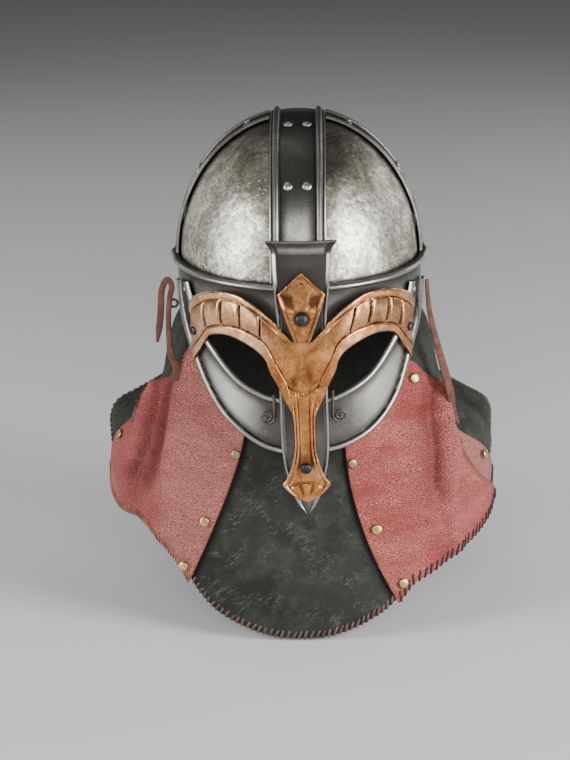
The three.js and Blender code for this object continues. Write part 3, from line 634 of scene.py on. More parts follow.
# Flat leather thongs, one a side. Each route runs from where the thong leaves the helmet.
THONG_THICK = 1.8
THONG_RIGHT = [resting(61.6, -93, -1), resting(62.6, -84, -1), (-106.2, -58.8, -71.5), (-107.6, -54.6, -59),
               (-107.8, -50, -41), (-106.6, -47, -27), (-104.8, -44.6, -17.5), (-108.8, -43.6, -12),
               (-113.2, -44, -21), (-114.2, -44, -34), (-115.4, -44, -47), (-118.2, -44, -65.5)]
THONG_LEFT = [(104.6, -47, -13), (105.4, -48, -26), (107.4, -49.4, -42), (111.8, -51, -61), (117.2, -53, -81),
              (123.5, -55.6, -104), resting(68.8, -122, 1), resting(68, -134, 1)]
RIGHT_WIDTHS = [7.2, 6.8, 6.0, 5.0, 4.6, 4.6, 4.8, 5.0, 5.4, 5.8, 5.8, 5.8, 2.2]
LEFT_WIDTHS = [3.4, 3.8, 4.4, 5.2, 5.8, 6.4, 7.0, 7.4, 7.4, 5.6, 2.4]


def route(points, count):
    """Points along a smooth line through the route, evenly spaced."""
    p = np.array(points, float)
    p = np.vstack([2 * p[0] - p[1], p, 2 * p[-1] - p[-2]])
    fine = []
    for k in range(1, len(p) - 2):
        for u in np.linspace(0, 1, 24, endpoint=False):
            a = 2 * p[k] + (p[k + 1] - p[k - 1]) * u
            b = (2 * p[k - 1] - 5 * p[k] + 4 * p[k + 1] - p[k + 2]) * u * u
            c = (3 * p[k] - p[k - 1] - 3 * p[k + 1] + p[k + 2]) * u ** 3
            fine.append((a + b + c) / 2)
    fine = np.array(fine + [p[-2]])
    run = run_of(fine)
    even = np.linspace(0, run[-1], count)
    return np.stack([np.interp(even, run, fine[:, k]) for k in range(3)], -1), run[-1]


def flat_strip(name, points, widths, thick, facing, count, sides=20):
    """A strap of flat, round-edged section along a route; facing is the way its face looks."""
    path, length = route(points, count)
    piece, u, v = blank(name, count - 1, sides)
    along = np.gradient(path, axis=0)
    along /= np.linalg.norm(along, axis=1)[:, None]
    face = np.array(facing, float) - along * (along @ np.array(facing, float))[:, None]
    face /= np.linalg.norm(face, axis=1)[:, None]
    wide = np.cross(along, face)
    row = np.rint(u * (count - 1)).astype(int)
    angle = v * 2 * math.pi
    half = np.interp(u, np.linspace(0, 1, len(widths)), widths)[..., None] / 2
    c, s = np.cos(angle), np.sin(angle)
    flat_c = (np.sign(c) * np.abs(c) ** 0.55)[:, None]
    flat_s = (np.sign(s) * np.abs(s) ** 0.7)[:, None]
    lay(piece, path[row] + wide[row] * half * flat_c + face[row] * thick / 2 * flat_s)
    weld(piece, 0.02)
    open_edit(piece)
    bpy.ops.mesh.select_all(action="DESELECT")
    bpy.ops.mesh.select_non_manifold(extend=False)
    bpy.ops.mesh.edge_face_add()
    bpy.ops.mesh.select_all(action="SELECT")
    bpy.ops.mesh.normals_make_consistent(inside=False)
    close_edit()
    return piece, path, length


def thong(word, points, widths, facing, count):
    name = "thong_" + word
    piece, path, length = flat_strip(name + "_strap", points, widths, THONG_THICK, facing, count)
    soften(piece, ROUND_ANGLE)
    dress(piece, LACE)
    seat(piece, "lace", name)


thong("right", THONG_RIGHT, RIGHT_WIDTHS, (-0.25, -1, 0.1), 110)
thong("left", THONG_LEFT, LEFT_WIDTHS, (0.5, -1, 0.1), 90)


# Dome: four hammered panels under the bands, each cut from a sphere by three planes.
PANEL_OUT = -2.3
UNDER_CREST = 12
UNDER_CROSS = 10
UNDER_BROW = -8


def dome_panel(name, side, facing):
    deselect()
    bpy.ops.mesh.primitive_uv_sphere_add(segments=224, ring_count=112, radius=1)
    piece = call(bpy.context.object, name + "_plate")
    open_edit(piece)
    halves = (BROW_HALF_WIDTH, BROW_HALF_LENGTH, DOME_RISE)
    bpy.ops.transform.resize(value=tuple((half + PANEL_OUT) * MM for half in halves))
    bpy.ops.transform.translate(value=(0, 0, DOME_CENTRE_Z * MM))
    for place, way in (((side * UNDER_CREST * MM, 0, 0), (-side, 0, 0)),
                       ((0, facing * UNDER_CROSS * MM, 0), (0, -facing, 0)),
                       ((0, 0, UNDER_BROW * MM), (0, 0, -1))):
        bpy.ops.mesh.select_all(action="SELECT")
        bpy.ops.mesh.bisect(plane_co=place, plane_no=way, clear_outer=True, use_fill=False)
    close_edit()
    co = corners(piece) / MM
    away = co / np.linalg.norm(co, axis=1)[:, None]
    co += away * (0.34 * ripple(co, 21, 3.1) + 0.16 * ripple(co, 8, 7.7))[:, None]
    lay(piece, co)
    x, y, z = np.abs(co[:, 0]), np.abs(co[:, 1]), co[:, 2]
    # Painted shade: darker along the crest band, the cross band and the bead, where the panel meets them.
    edge = 0.7 * np.exp(-np.maximum(0, x - 22.6) / 1.6) + 0.8 * np.exp(-np.maximum(0, y - 15) / 2.2)
    edge += 0.7 * np.exp(-np.maximum(0, z - 3.2) / 1.6)
    # Darker brown-grey over the crown: brown patina near the crest with painted shade where the crown faces
    # up into the dark.
    crown = smooth(48, 92, z) * (1 - 0.55 * smooth(34, 70, x))
    mark(piece, "shade", np.clip(edge, 0, 1) - 0.12)
    mark(piece, "brown", np.clip(0.86 * crown + 0.25 * smooth(40, 24, x) * smooth(20, 70, z), 0, 1))
    # Painted highlight low in the middle of each panel.
    mark(piece, "painted_highlight", bump(z, 33, 26) * smooth(24, 34, x) * smooth(92, 60, x))
    plate(piece, PLATE_STEEL, BAND_WALL, name)


for word, side in (("left", 1), ("right", -1)):
    dome_panel("dome_panel_front_" + word, side, -1)
    dome_panel("dome_panel_back_" + word, side, 1)


def half_round(x, middle, half, height):
    return height * np.sqrt(np.clip(1 - ((x - middle) / half) ** 2, 0, 1))


# Crest band over the crown, and the cross bands down to each ear.
CREST_HALF = 22.5
CROSS_HALF = 20
CROSS_TOP_X = 23.1


def crest_band():
    piece, u, v = blank("crest_band_strip", 220, 64)
    x = mix(-CREST_HALF, CREST_HALF, v)
    w = np.abs(x)
    h = np.maximum(half_round(w, 17.4, 2.75, 3.3), half_round(w, 21.4, 1.3, 1.0))
    h = h - 0.25 * bump(w, 20.2, 0.35) - 0.3 * bump(w, 14.3, 0.7)
    rise = mix(BAND_FOOT, math.pi - BAND_FOOT, u)
    k = np.sqrt(1 - (x / (BROW_HALF_WIDTH + h)) ** 2)
    y = -(BROW_HALF_LENGTH + h) * k * np.cos(rise)
    lay(piece, np.stack([x, y, DOME_CENTRE_Z + (DOME_RISE + h) * k * np.sin(rise)], -1))
    front = rise / DEG
    # Lighter patches where the strip is worn near its ends, and a painted highlight bar across the top.
    lighter_share = bump(front, 21, 11) * (1 - smooth(6, 13, w)) + bump(front, 159, 11) * (1 - smooth(6, 13, w))
    lighter_share = lighter_share + 0.7 * bump(front, 92, 4) + 0.3 * bump(front, 60, 9)
    strip = (1 - smooth(14.2, 15.4, w)) * (0.84 - 0.59 * lighter_share)
    # The strip keeps its own dark colour; painted shade in the grooves beside the beads, and painted shading
    # on the rails, dark flanks with lit crest lines.
    groove = 0.95 * bump(w, 20.2, 0.6) + 0.95 * bump(w, 14.6, 0.6)
    rail = smooth(14.6, 15.4, w) * (0.55 - 0.55 * bump(w, 16.0, 0.7) - 0.55 * bump(w, 21.6, 0.5))
    mark(piece, "shade", np.clip(np.maximum(np.maximum(strip, groove), rail), 0, 1))
    plate(piece, BRUSHED_STEEL, BAND_WALL, "crest_band")


def cross_band(word, side):
    name = "cross_band_" + word
    piece, u, v = blank(name + "_strip", 130, 72)
    y = mix(-CROSS_HALF, CROSS_HALF, v)
    w = np.abs(y)
    h = half_round(w, 17.7, 2.3, 2.2)
    y = y * (1 - 0.28 * smooth(0.3, 1, u))
    k = np.sqrt(1 - (y / (BROW_HALF_LENGTH + h)) ** 2)
    a = (BROW_HALF_WIDTH + h) * k
    rise = mix(BAND_FOOT, np.arccos(CROSS_TOP_X / a), u)
    z = DOME_CENTRE_Z + (DOME_RISE + h) * k * np.sin(rise)
    lay(piece, np.stack([side * a * np.cos(rise), y, z], -1))
    # The band's own dark strip; the bead beside it takes painted shading, dark flanks and a lit crest line.
    strip = (1 - smooth(15.2, 16.2, w)) * 0.97
    rail = smooth(15.2, 16.2, w) * (0.75 - 0.75 * bump(w, 17.6, 1.1))
    mark(piece, "shade", np.maximum(strip, rail))
    plate(piece, BRUSHED_STEEL, BAND_WALL, name)


crest_band()
cross_band("left", 1)
cross_band("right", -1)


# Brow band with a half-round bead along its top.
def brow_band():
    piece, u, v = blank("brow_band_ring", 300, 44)
    turn = u * 2 * math.pi
    z = np.where(v < 0.45, mix(-42, -3.9, v / 0.45), mix(-3.9, 3.1, (v - 0.45) / 0.55))
    h = np.maximum(half_round(z, 0, 3.1, 5.2), 0.15)
    ends = bump(np.abs((turn / DEG + 180) % 360 - 180), 84, 3.2) * smooth(-3.1, 0.5, z)
    h = h + 1.2 * ends * smooth(0.5, 3, h)
    x = (BROW_HALF_WIDTH + h) * np.sin(turn)
    y = -(BROW_HALF_LENGTH + h) * np.cos(turn)
    lay(piece, np.stack([x, y, z + 3.6 * ends], -1))
    # Darker below the bead, with painted shade deepest just under it; the bead itself is left light.
    below = 0.55 + 0.4 * smooth(-12, -3, z)
    mark(piece, "shade", np.where(np.abs(z) < 2.8, 0.0, np.clip(below, 0, 1)))
    weld(piece, 0.02)
    plate(piece, BRUSHED_STEEL, BAND_WALL, "brow_band")


brow_band()


# Eye guards: a strip from the brow down the cheek and round under the eye, rolled rims on both edges.
def eye_guard(word, table, side):
    name = "eye_guard_" + word
    piece, u, v = blank(name + "_strip", 190, 72)
    t = u * (len(table) - 1)
    ex, ez, rx, rz = (curve(range(len(table)), column, t) for column in zip(*table))
    width = np.hypot(rx - ex, rz - ez)
    near = v * width
    far = (1 - v) * width
    from_rim = np.minimum(near, far)
    h = np.maximum(2.1, 2.1 + half_round(from_rim, 2.5, 2.6, 2.9))
    x = side * mix(ex, rx, v)
    z = mix(ez, rz, v)
    lay(piece, faced(x, z, h, 3.0))
    late, low = (0.0, 0.35) if side > 0 else (0.12, 0.12)
    # Where the painted lit band reaches: it fades towards the nose end and, on one guard, towards the temple.
    lighter_share = (1 - 0.85 * smooth(0.56 + late, 0.84 + late, u)) * mix(low, 1, smooth(0.22 + late, 0.5 + late, u))
    middle = smooth(4.5, 15, near) * smooth(4.5, 13, far) * lighter_share
    # Painted shading: light rolled rims, a dark face with the painted lit band down its middle, and a painted
    # shadow line just inside each rim.
    shade = np.where(from_rim < 4.6, 0.03, 0.84 - 0.84 * middle + 0.2 * bump(from_rim, 5.2, 0.6))
    mark(piece, "shade", np.clip(shade, 0, 1))
    # Painted highlight on that band.
    mark(piece, "painted_highlight", 0.9 * middle * (0.55 + 0.45 * bump(u, 0.55 + late, 0.25)))
    plate(piece, BRUSHED_STEEL, FACE_WALL, name)


eye_guard("left", GUARD_LEFT, 1)
eye_guard("right", GUARD_RIGHT, -1)


# Nasal bar: a channel with raised flanges, a flared lip at its top and a ridged point at its foot.
# The columns are height, half width, flare, flange and ridge.
NASAL = [(39.6, 26, 9, 0.6, 0), (37.2, 25.7, 6.5, 0.6, 0), (33, 24, 2.2, 1.4, 0), (28.5, 23.5, 0, 2.3, 0),
         (16, 23, 0, 2.3, 0), (0, 21.8, 0, 2.3, 0), (-28, 19.6, 0, 2.3, 0), (-80, 19.2, 0, 2.3, 0),
         (-126, 19.2, 0, 2.3, 0), (-142, 18, 0, 2.2, 0.2), (-153, 16, 0, 1.8, 0.6), (-171, 11.2, 0, 1, 1.2),
         (-181, 6.4, 0, 0.6, 1.8), (-188, 1.6, 0, 0.4, 0.8)]
NASAL_OUT = 7.1


def nasal_bar():
    piece, u, v = blank("nasal_bar_channel", 240, 60)
    z = mix(NOSE_TOP, -NOSE_FOOT, u)
    heights, *columns = zip(*NASAL[::-1])
    half, flare, flange, ridge = (curve(heights, column, z) for column in columns)
    w = 2 * v - 1
    x = w * half
    from_edge = half - np.abs(x)
    foot = np.minimum(3.6, half * 0.4)
    h = flange * (1 - smooth(foot * 0.45, foot, from_edge)) * smooth(-0.6, 0.9, from_edge)
    h = h + ridge * np.clip(1 - np.abs(x) / np.maximum(half - foot, 0.5), 0, 1)
    at = lean(x, z)
    lay(piece, faced(at, z, NASAL_OUT + flare + h, NASAL_OUT))
    channel = smooth(foot * 0.8, foot * 1.3, from_edge)
    lip = smooth(27.5, 29.5, z)
    # Darker down the channel, less towards the foot, with painted shade at the foot of each flange.
    shade = channel * (0.95 - 0.25 * smooth(-95, -125, z)) + 0.35 * bump(from_edge, foot, 0.8)
    # Painted light on the rolled lip: lit bands and a lit top edge, a dark line between, and painted shade on
    # the flaring horns.
    rolled = 0.62 * bump(z, 36.5, 4.5) + 0.5 * bump(z, 29.6, 1.0) - 0.5 * bump(z, 31.2, 0.8)
    horn = (1 - smooth(4.5, 7.5, from_edge)) * (0.55 + 0.3 * smooth(39.6, 38.2, z))
    shade = mix(shade, np.maximum(rolled, horn) - 0.9 * smooth(38.6, 39.4, z), lip)
    mark(piece, "shade", np.clip(shade, 0, 1))
    plate(piece, BRUSHED_STEEL, FACE_WALL, "nasal_bar")


nasal_bar()


# Copper mask: two arched wings running into the nose strip, and a five-sided crest above the fork.
# Each row is a section from the wing's tip to the foot: x and z of its upper edge, then of its lower edge.
MASK_HALF = [(90, -23, 88.9, -74), (87.4, -18.6, 86, -67.4), (83, -14.5, 81.6, -59.5), (77.5, -11, 75, -47.2),
             (69.5, -7.9, 67.6, -43.1), (60, -6, 59, -41.8), (50, -6.7, 50.2, -43.3), (41, -10.3, 42, -46.4),
             (33, -15.6, 34, -51.1), (26, -21.4, 28.4, -57.8), (19.6, -28, 26, -66), (13, -35.6, 22.6, -73),
             (6.2, -42, 19, -80), (0, -43, 15.4, -89), (0, -72, 11.4, -96.6), (0, -97, 8.8, -105),
             (0, -117, 8.3, -118), (0, -132, 8.6, -132), (0, -145, 11.4, -145), (0, -156, 15.6, -156),
             (0, -163, 18.8, -162.4), (0, -170, 11.6, -170.2), (0, -176, 1.6, -175.7)]
MASK_CREST_Z = [15, 6, -3.2, -15.7, -29.5, -42]
MASK_CREST_HALF = [0.6, 9.8, 18.7, 15.2, 10.6, 6.2]
FLUTES = {1: [(2.62, 2.68), (3.98, 4.14), (5.45, 5.75), (6.85, 7.5)],
          -1: [(2.88, 2.83), (4.58, 4.5), (6.15, 6.18), (8.12, 8.12)]}
STEPS = 14
FORK = 13
MASK_WALL = 1.3
SHELL_FOOT_Z = -179


def mask_point(x, z, raise_by):
    back = mix(9.9, 5.3, smooth(27, 68, np.abs(x)))
    return faced(lean(x, z), z, back + MASK_WALL + raise_by, back)


def hammered(points):
    return 0.36 * ripple(points, 11, 4.4) + 0.08 * ripple(points, 5, 9.1)


def tarnish(points):
    return 0.3 * np.maximum(0, ripple(points, 13, 6.2))


def mask_edges(t):
    upx, upz, lowx, lowz = (curve(range(len(MASK_HALF)), column, t) for column in zip(*MASK_HALF))
    return np.where(t >= FORK, 0, np.maximum(upx, 0)), upz, lowx, lowz


def wing_relief(t, v, side):
    """Embossing on one half of the mask: height, shade (painted shade over the pillows and in the cuts and
    lines, with the patina that gathers there) and where the shell-shaped foot is.
    """
    top = curve([0, 2.7, 4.5, 6.2, 8, 10, 22], [0.2, 0.2, 0.19, 0.16, 0.13, 0.11, 0.1], t)
    low = curve([0, 2.7, 4.3, 6, 8, 9.6, 11.7, 13, 14, 22],
                [0.8, 0.8, 0.79, 0.73, 0.66, 0.66, 0.72, 0.76, 0.8, 0.8], t)
    wing = 1 - smooth(8.8, 11.5, t)
    core = smooth(9.5, 11.5, t) * (1 - smooth(13.4, 14.4, t))
    nose = smooth(13.6, 14.6, t) * (1 - smooth(17.6, 18.4, t))
    foot = smooth(17.6, 18.4, t)
    end = smooth(0, 0.7, t)
    border = smooth(0, 0.03, v) * (1 - smooth(top - 0.035, top, v)) * wing
    border_low = smooth(1, 0.97, v) * (1 - smooth(low + 0.035, low, v)) * (1 - smooth(13.2, 14.2, t))
    between = np.clip((v - top) / (low - top), 0, 1)
    pillow = np.sin(math.pi * between) ** 0.7
    cut = np.zeros_like(t)
    swell = np.zeros_like(t)
    for a, b in FLUTES[side]:
        at = mix(a, b, between)
        cut = np.maximum(cut, bump(t, at, 0.085))
        swell = np.maximum(swell, np.where(t < at, bump(t, at - 0.08, 0.6), bump(t, at, 0.2) * 0.2))
    inside = smooth(0, 0.12, between) * smooth(1, 0.88, between)
    flutes = pillow * (1.5 + 1.1 * swell) - 2.0 * cut * inside
    h = wing * (0.95 * border + flutes * end) + 0.95 * border_low * np.maximum(wing, core) * end
    swept = np.sin(math.pi * np.clip(v / np.maximum(low, 0.1), 0, 1) * 0.5 + 0.9) ** 2
    h = h + core * (1.5 * swept) * (v < low)
    line_up = bump(v, top, 0.022) * wing
    line_low = bump(v, low, 0.022) * (1 - smooth(13.0, 13.6, t))
    h = h - 0.7 * (line_up + line_low) * end
    ridges = half_round(v, 0.64, 0.12, 1.3) + half_round(v, 0.90, 0.10, 1.2)
    h = h + nose * (ridges - 0.5 * (1 - smooth(0.3, 0.5, v)))
    # Painted shade in the flute cuts and border lines, where patina also gathers, and painted shading across
    # each pillow.
    shade = 0.85 * cut * inside * wing + 0.55 * line_up + (0.6 * wing + 0.2) * line_low
    shade = shade + 0.30 * wing * inside * (1 - pillow)
    shade = shade + 0.25 * wing * bump(between, 0.5, 0.6) * (1 - swell) * inside
    # Darker lines along the nose strip, painted shade beside its ridges.
    shade = shade + nose * (0.8 * bump(v, 0.77, 0.03) + 0.75 * bump(v, 0.47, 0.05) + 0.1 - 0.2 * (v > 0.55))
    return h, shade, foot


def mask_half(side):
    piece, u, v = blank("mask_half", STEPS * (len(MASK_HALF) - 1), 56)
    t = u * (len(MASK_HALF) - 1)
    upx, upz, lowx, lowz = mask_edges(t)
    x = mix(upx, lowx, v)
    z = mix(upz, lowz, v)
    h, shade, foot = wing_relief(t, v, side)
    rho = np.hypot(x, z - SHELL_FOOT_Z)
    angle = np.arctan2(x, z - SHELL_FOOT_Z)
    tip = smooth(21.6, 20.4, t)
    fan = tip * smooth(20.2, 18.4, rho) * smooth(44 * DEG, 36 * DEG, np.abs(angle)) * smooth(2, 7, rho)
    scallop = 0.5 + 0.5 * np.cos(angle * 11)
    rim = smooth(0.80, 0.86, v) * smooth(1.0, 0.95, v)
    h = h + foot * (0.7 * rim * tip + fan * (0.9 + 0.7 * scallop))
    # Painted shade round the foot plate's rim, between the fan's ridges, above the foot rivet, at the fork
    # and under the wing's lower rim.
    ring = 0.55 * bump(rho, 20.2, 1.0) * (np.abs(angle) < 44 * DEG)
    shade = shade + foot * (ring + 0.75 * fan * (1 - scallop) ** 2)
    shade = shade + foot * 0.5 * bump(v, 0.78, 0.05) + 0.55 * bump(z, -143, 9) * (np.abs(x) < 8)
    shade = shade + 0.35 * bump(t, 13.4, 0.35) * bump(v, 0.5, 0.5)
    shade = shade + 0.22 * bump(t, 10.6, 1.2) * bump(v, 0.85, 0.3)
    sag, near = z - 0.03 * x * x, smooth(16, 12, x)
    h = h - 1.0 * bump(sag, -83.2, 1.3) * near + 0.7 * bump(sag, -79.6, 2.6) * near
    # Painted shade along the fold, and a broad darker patch over the middle.
    shade = shade + 0.42 * bump(sag, -83.4, 1.0) * near + 0.22 * bump(z, -62, 17) * bump(x, 0, 16)
    flat = mask_point(side * x, z, 0 * x)
    h = h + tip * hammered(flat)
    shade = shade + tarnish(flat)
    lay(piece, mask_point(side * x, z, h))
    mark(piece, "shade", np.clip(shade, 0, 1))
    rose = (1 if side < 0 else 0.5) * (1 - smooth(6.5, 11.5, t))
    mark(piece, "rose", np.clip(rose + 0.25 * smooth(14, 16, t) * smooth(0.5, 0.7, v), 0, 1))
    return piece


def mask_crest():
    piece, u, v = blank("mask_crest", 2 * STEPS, 60)
    w = 2 * u - 1
    upx, upz, _, _ = mask_edges(FORK - np.abs(w))
    z = mix(MASK_CREST_Z[0], MASK_CREST_Z[-1], v)
    half = np.interp(-z, [-q for q in MASK_CREST_Z], MASK_CREST_HALF)
    x = w * half
    last = v > 0.999
    x = np.where(last, np.sign(w) * upx, x)
    z = np.where(last, upz, z)
    edge = (1 - np.abs(w)) * half
    slant = np.minimum(edge, np.maximum(0, MASK_CREST_Z[0] - z) * 0.7)
    rim = smooth(0, 0.6, slant) * (1 - smooth(1.8, 2.8, slant)) * (1 - smooth(-33, -40, z))
    lean_in = np.abs(x) - 4.2 - 0.18 * (z + 14)
    hollow = smooth(-1.2, 2.4, lean_in) * smooth(1.4, 4.2, edge) * smooth(-19, -12, z) * smooth(0, -6, z)
    vee = bump(lean_in, -1.0, 1.1) * smooth(-18, -14, z) * smooth(-1, -4, z)
    dimple = np.hypot(x, z - 6)
    h = 0.8 * rim - 1.5 * hollow + 0.6 * vee - 0.8 * bump(dimple, 0, 1.5)
    flat = mask_point(x, z, 0 * x)
    h = h + hammered(flat) * (v < 0.99)
    lay(piece, mask_point(x, z, h))
    # Painted shade inside the rim, in the hollows, in the dimple and round the rivet, with tarnish clouds, on
    # a darker base tone.
    shade = 0.5 * bump(slant, 2.9, 0.6) + 0.5 * hollow + 0.26 + 0.6 * bump(dimple, 0, 1.7)
    shade = shade + 0.6 * bump(np.hypot(x, z + 22.4), 5.6, 1.4) + tarnish(flat)
    mark(piece, "shade", np.clip(shade, 0, 1))
    mark(piece, "rose", 0.1 + 0 * x)
    return piece


def copper_mask():
    piece = join([mask_half(1), mask_half(-1), mask_crest()], "copper_mask_sheet")
    weld(piece, 0.12)
    lay(piece, corners(piece) / MM)
    dress(piece, COPPER, COPPER)
    thicken(piece, MASK_WALL)
    soften(piece, 50)
    seat(piece, "copper", "copper_mask")


copper_mask()


# Thin round wire, for the scroll hooks and the lacing.
def wires(name, runs, radius, sides=2):
    data = bpy.data.curves.new(name, "CURVE")
    data.dimensions = "3D"
    data.bevel_depth = radius * MM
    data.bevel_resolution = sides
    data.use_fill_caps = True
    for points in runs:
        spline = data.splines.new("POLY")
        spline.points.add(len(points) - 1)
        for spot, p in zip(spline.points, points):
            spot.co = (*(np.array(p) * MM), 1)
    piece = bpy.data.objects.new(name, data)
    bpy.context.scene.collection.objects.link(piece)
    take(piece)
    bpy.ops.object.convert(target="MESH")
    piece = bpy.context.object
    piece.data.name = name
    soften(piece, ROUND_ANGLE)
    return piece


CURL_OUTER = 5.6
CURL_INNER = 2.0
CURL_STEPS = 28
CURL_STEP = 17
HOOK_SHANK = 8
HOOK_OUT = 6.3
HOOK_RADIUS = 1.1


def scroll_hook(word, side, x, top_z, curl_z):
    name = "scroll_hook_" + word
    flat = [(x, top_z), (x, top_z - HOOK_SHANK)]
    for k in range(CURL_STEPS + 1):
        angle = math.pi + k * CURL_STEP * DEG
        r = mix(CURL_OUTER, CURL_INNER, k / CURL_STEPS)
        flat.append((x + CURL_OUTER + r * math.cos(angle), curl_z + r * math.sin(angle)))
    flat = np.array(flat)
    path, _ = route(faced(side * flat[:, 0], flat[:, 1], HOOK_OUT, HOOK_OUT), 110)
    piece = wires(name + "_wire", [path], HOOK_RADIUS, 3)
    mark(piece, "shade", np.zeros(len(piece.data.vertices)))
    dress(piece, WIRE_IRON)
    seat(piece, "dark_steel", name)


scroll_hook("left", 1, 26.6, -84, -105.5)
scroll_hook("right", -1, 20.4, -87, -106.5)


def stitches(name, edge, inner, out, count, finish, slant=0.9, reach=4.2, radius=0.62, over=0.65):
    """Whip lacing over a hem: edge and inner are rows of points, out the hide's face direction."""
    run = run_of(edge)
    runs = []
    for k in range(count):
        s = run[-1] * (k + 0.5) / count

        def at(rows, shift=0.0):
            return np.array([np.interp(s + shift, run, rows[:, i]) for i in range(3)])
        rim, way = at(edge), at(inner) - at(edge)
        way = way / np.linalg.norm(way)
        face = at(out)
        face = face / np.linalg.norm(face)
        along = at(edge, 0.6) - at(edge, -0.6)
        along = along / max(np.linalg.norm(along), 1e-6)
        wander = 0.35 * math.sin(k * 2.4) + 0.25 * math.sin(k * 5.1)
        tilt = along * slant * (1 + 0.3 * math.sin(k * 1.7))
        deep = reach + wander
        runs.append([rim + way * deep + tilt * 1.2 - face * 0.5,
                     rim + way * (deep - 0.5) + tilt + face * 0.45,
                     rim + way * (deep * 0.45) + tilt * 0.4 + face * 0.65, rim - way * 0.2 + face * 0.25,
                     rim - way * over - face * 1.0, rim - way * 0.1 - face * 2.3 - tilt * 0.2,
                     rim + way * deep * 0.5 - face * 2.5 - tilt * 0.5])
    piece = wires(name, runs, radius, 1)
    dress(piece, finish)
    return piece


def grid_rows(points, across, down):
    """The laid blank's points by column and then by row, from the top edge to the hem."""
    return points.reshape(down + 1, across + 1, 3).transpose(1, 0, 2)


def faces_of(rows):
    a = np.gradient(rows, axis=0)
    b = np.gradient(rows, axis=1)
    n = np.cross(a, b)
    n /= np.maximum(np.linalg.norm(n, axis=-1), 1e-9)[..., None]
    away = rows * np.array([1, 1, 0])
    return np.where((n * away).sum(-1, keepdims=True) < 0, -n, n)


def hang_hide(piece, rows, finishes, wall, slot, node_name, flat, rests_on, **lacing):
    """Gives a hide its wall and laces its hem."""
    out = faces_of(rows)
    dress(piece, *finishes)
    thicken(piece, wall)
    soften(piece, ROUND_ANGLE)
    seat(piece, slot, node_name)
    lace = stitches(node_name + "_lacing", rows[:, -1], rows[:, -5], out[:, -1], **lacing)
    seat(lace, "lace")


# Hides. The curtain's columns are turn, tuck above the rim and hem height, and the bib's are turn and hem
# height. A red panel's are turn and height at its top, turn and height at its hem, and the bow between them.
CURTAIN = [(47.5, 9, -216), (60, 9, -198), (75, 15, -193), (85, 17, -180), (92, 17, -167), (97, 17, -158),
           (101, 17, -149), (104, 17, -138), (108, 17, -132), (116, 17, -131), (124, 17, -141),
           (132, 17, -165), (145, 17, -188), (160, 17, -198), (180, 17, -201)]
BIB = [(0, -295), (10, -293.5), (20, -287.5), (28, -279.5), (34, -271), (40, -257), (46, -240)]
RED_RIGHT = [(26, -119, 42.2, -251, -0.8), (31, -113, 44, -244, -0.3), (38, -98, 47.2, -234, 0),
             (45, -86, 51, -223, 0), (53, -72, 55, -215, 0), (61.5, -60, 58, -210.5, 0),
             (65.5, -90, 60.5, -208.5, -0.5), (75.5, -104, 64, -206.5, -3), (72, -121, 68.5, -206, 0),
             (79, -141, 77.5, -202.5, 0), (85, -163, 88, -188, 0)]
RED_LEFT = [(21.3, -126, 36.7, -269, -3.5), (27, -122, 39, -263, -2.5), (34, -116, 42.5, -254, -1.5),
            (42, -106, 46.8, -249.5, 0), (50, -94, 52, -243.5, 0), (57, -80, 57, -238, 0),
            (62.5, -79.5, 60.5, -234, -0.5), (70.7, -104, 64.5, -231, -1.5), (68.6, -138, 69, -227.5, 0),
            (74.5, -153.5, 77, -217, 0), (85.5, -180, 88, -194, 0)]
CURTAIN_SWING = 132.5
BIB_SWING = 46
CURTAIN_TUCK = 0.1
BIB_TUCK = 0.07


def neck_curtain():
    across, down = 230, 80
    piece, u, v = blank("neck_curtain_leather", across, down)
    swing = mix(-CURTAIN_SWING, CURTAIN_SWING, u)
    side = np.where(swing < 0, 1.0, -1.0)
    turn = 180 - np.abs(swing)
    turns, tucks, hems = zip(*CURTAIN)
    tuck = curve(turns, tucks, turn)
    hem = curve(turns, hems, turn)
    hem = hem + 3.4 * (side > 0) * bump(turn, 104, 8)
    leave = rim_z(turn, side) - 1
    z = np.where(v < CURTAIN_TUCK, mix(leave + 1 + tuck, leave, v / CURTAIN_TUCK),
                 mix(leave, hem, (v - CURTAIN_TUCK) / (1 - CURTAIN_TUCK)))
    base = hanging(turn, z, side, 0)
    below = np.maximum(0, leave - z)
    wave = 1.2 * np.sin(turn * 0.23 + side) * smooth(30, 100, below)
    uneven = 0.4 * ripple(base, 30, 5.2) * smooth(10, 40, below)
    points = hanging(turn, z, side, np.minimum(0.6, wave) + uneven)
    lay(piece, points)
    # Painted shade just under the rim.
    mark(piece, "shade", 0.6 * (1 - smooth(0, 22, below)))
    hang_hide(piece, grid_rows(points, across, down), (DARK_HIDE, FLESH_SIDE), LEATHER, "dark_leather",
              "neck_curtain", flat=(0.67, 0.28), rests_on=["brow_band"],
              count=150, finish=HEM_THREAD, slant=1.4, reach=4.6, radius=1.0, over=2.4)


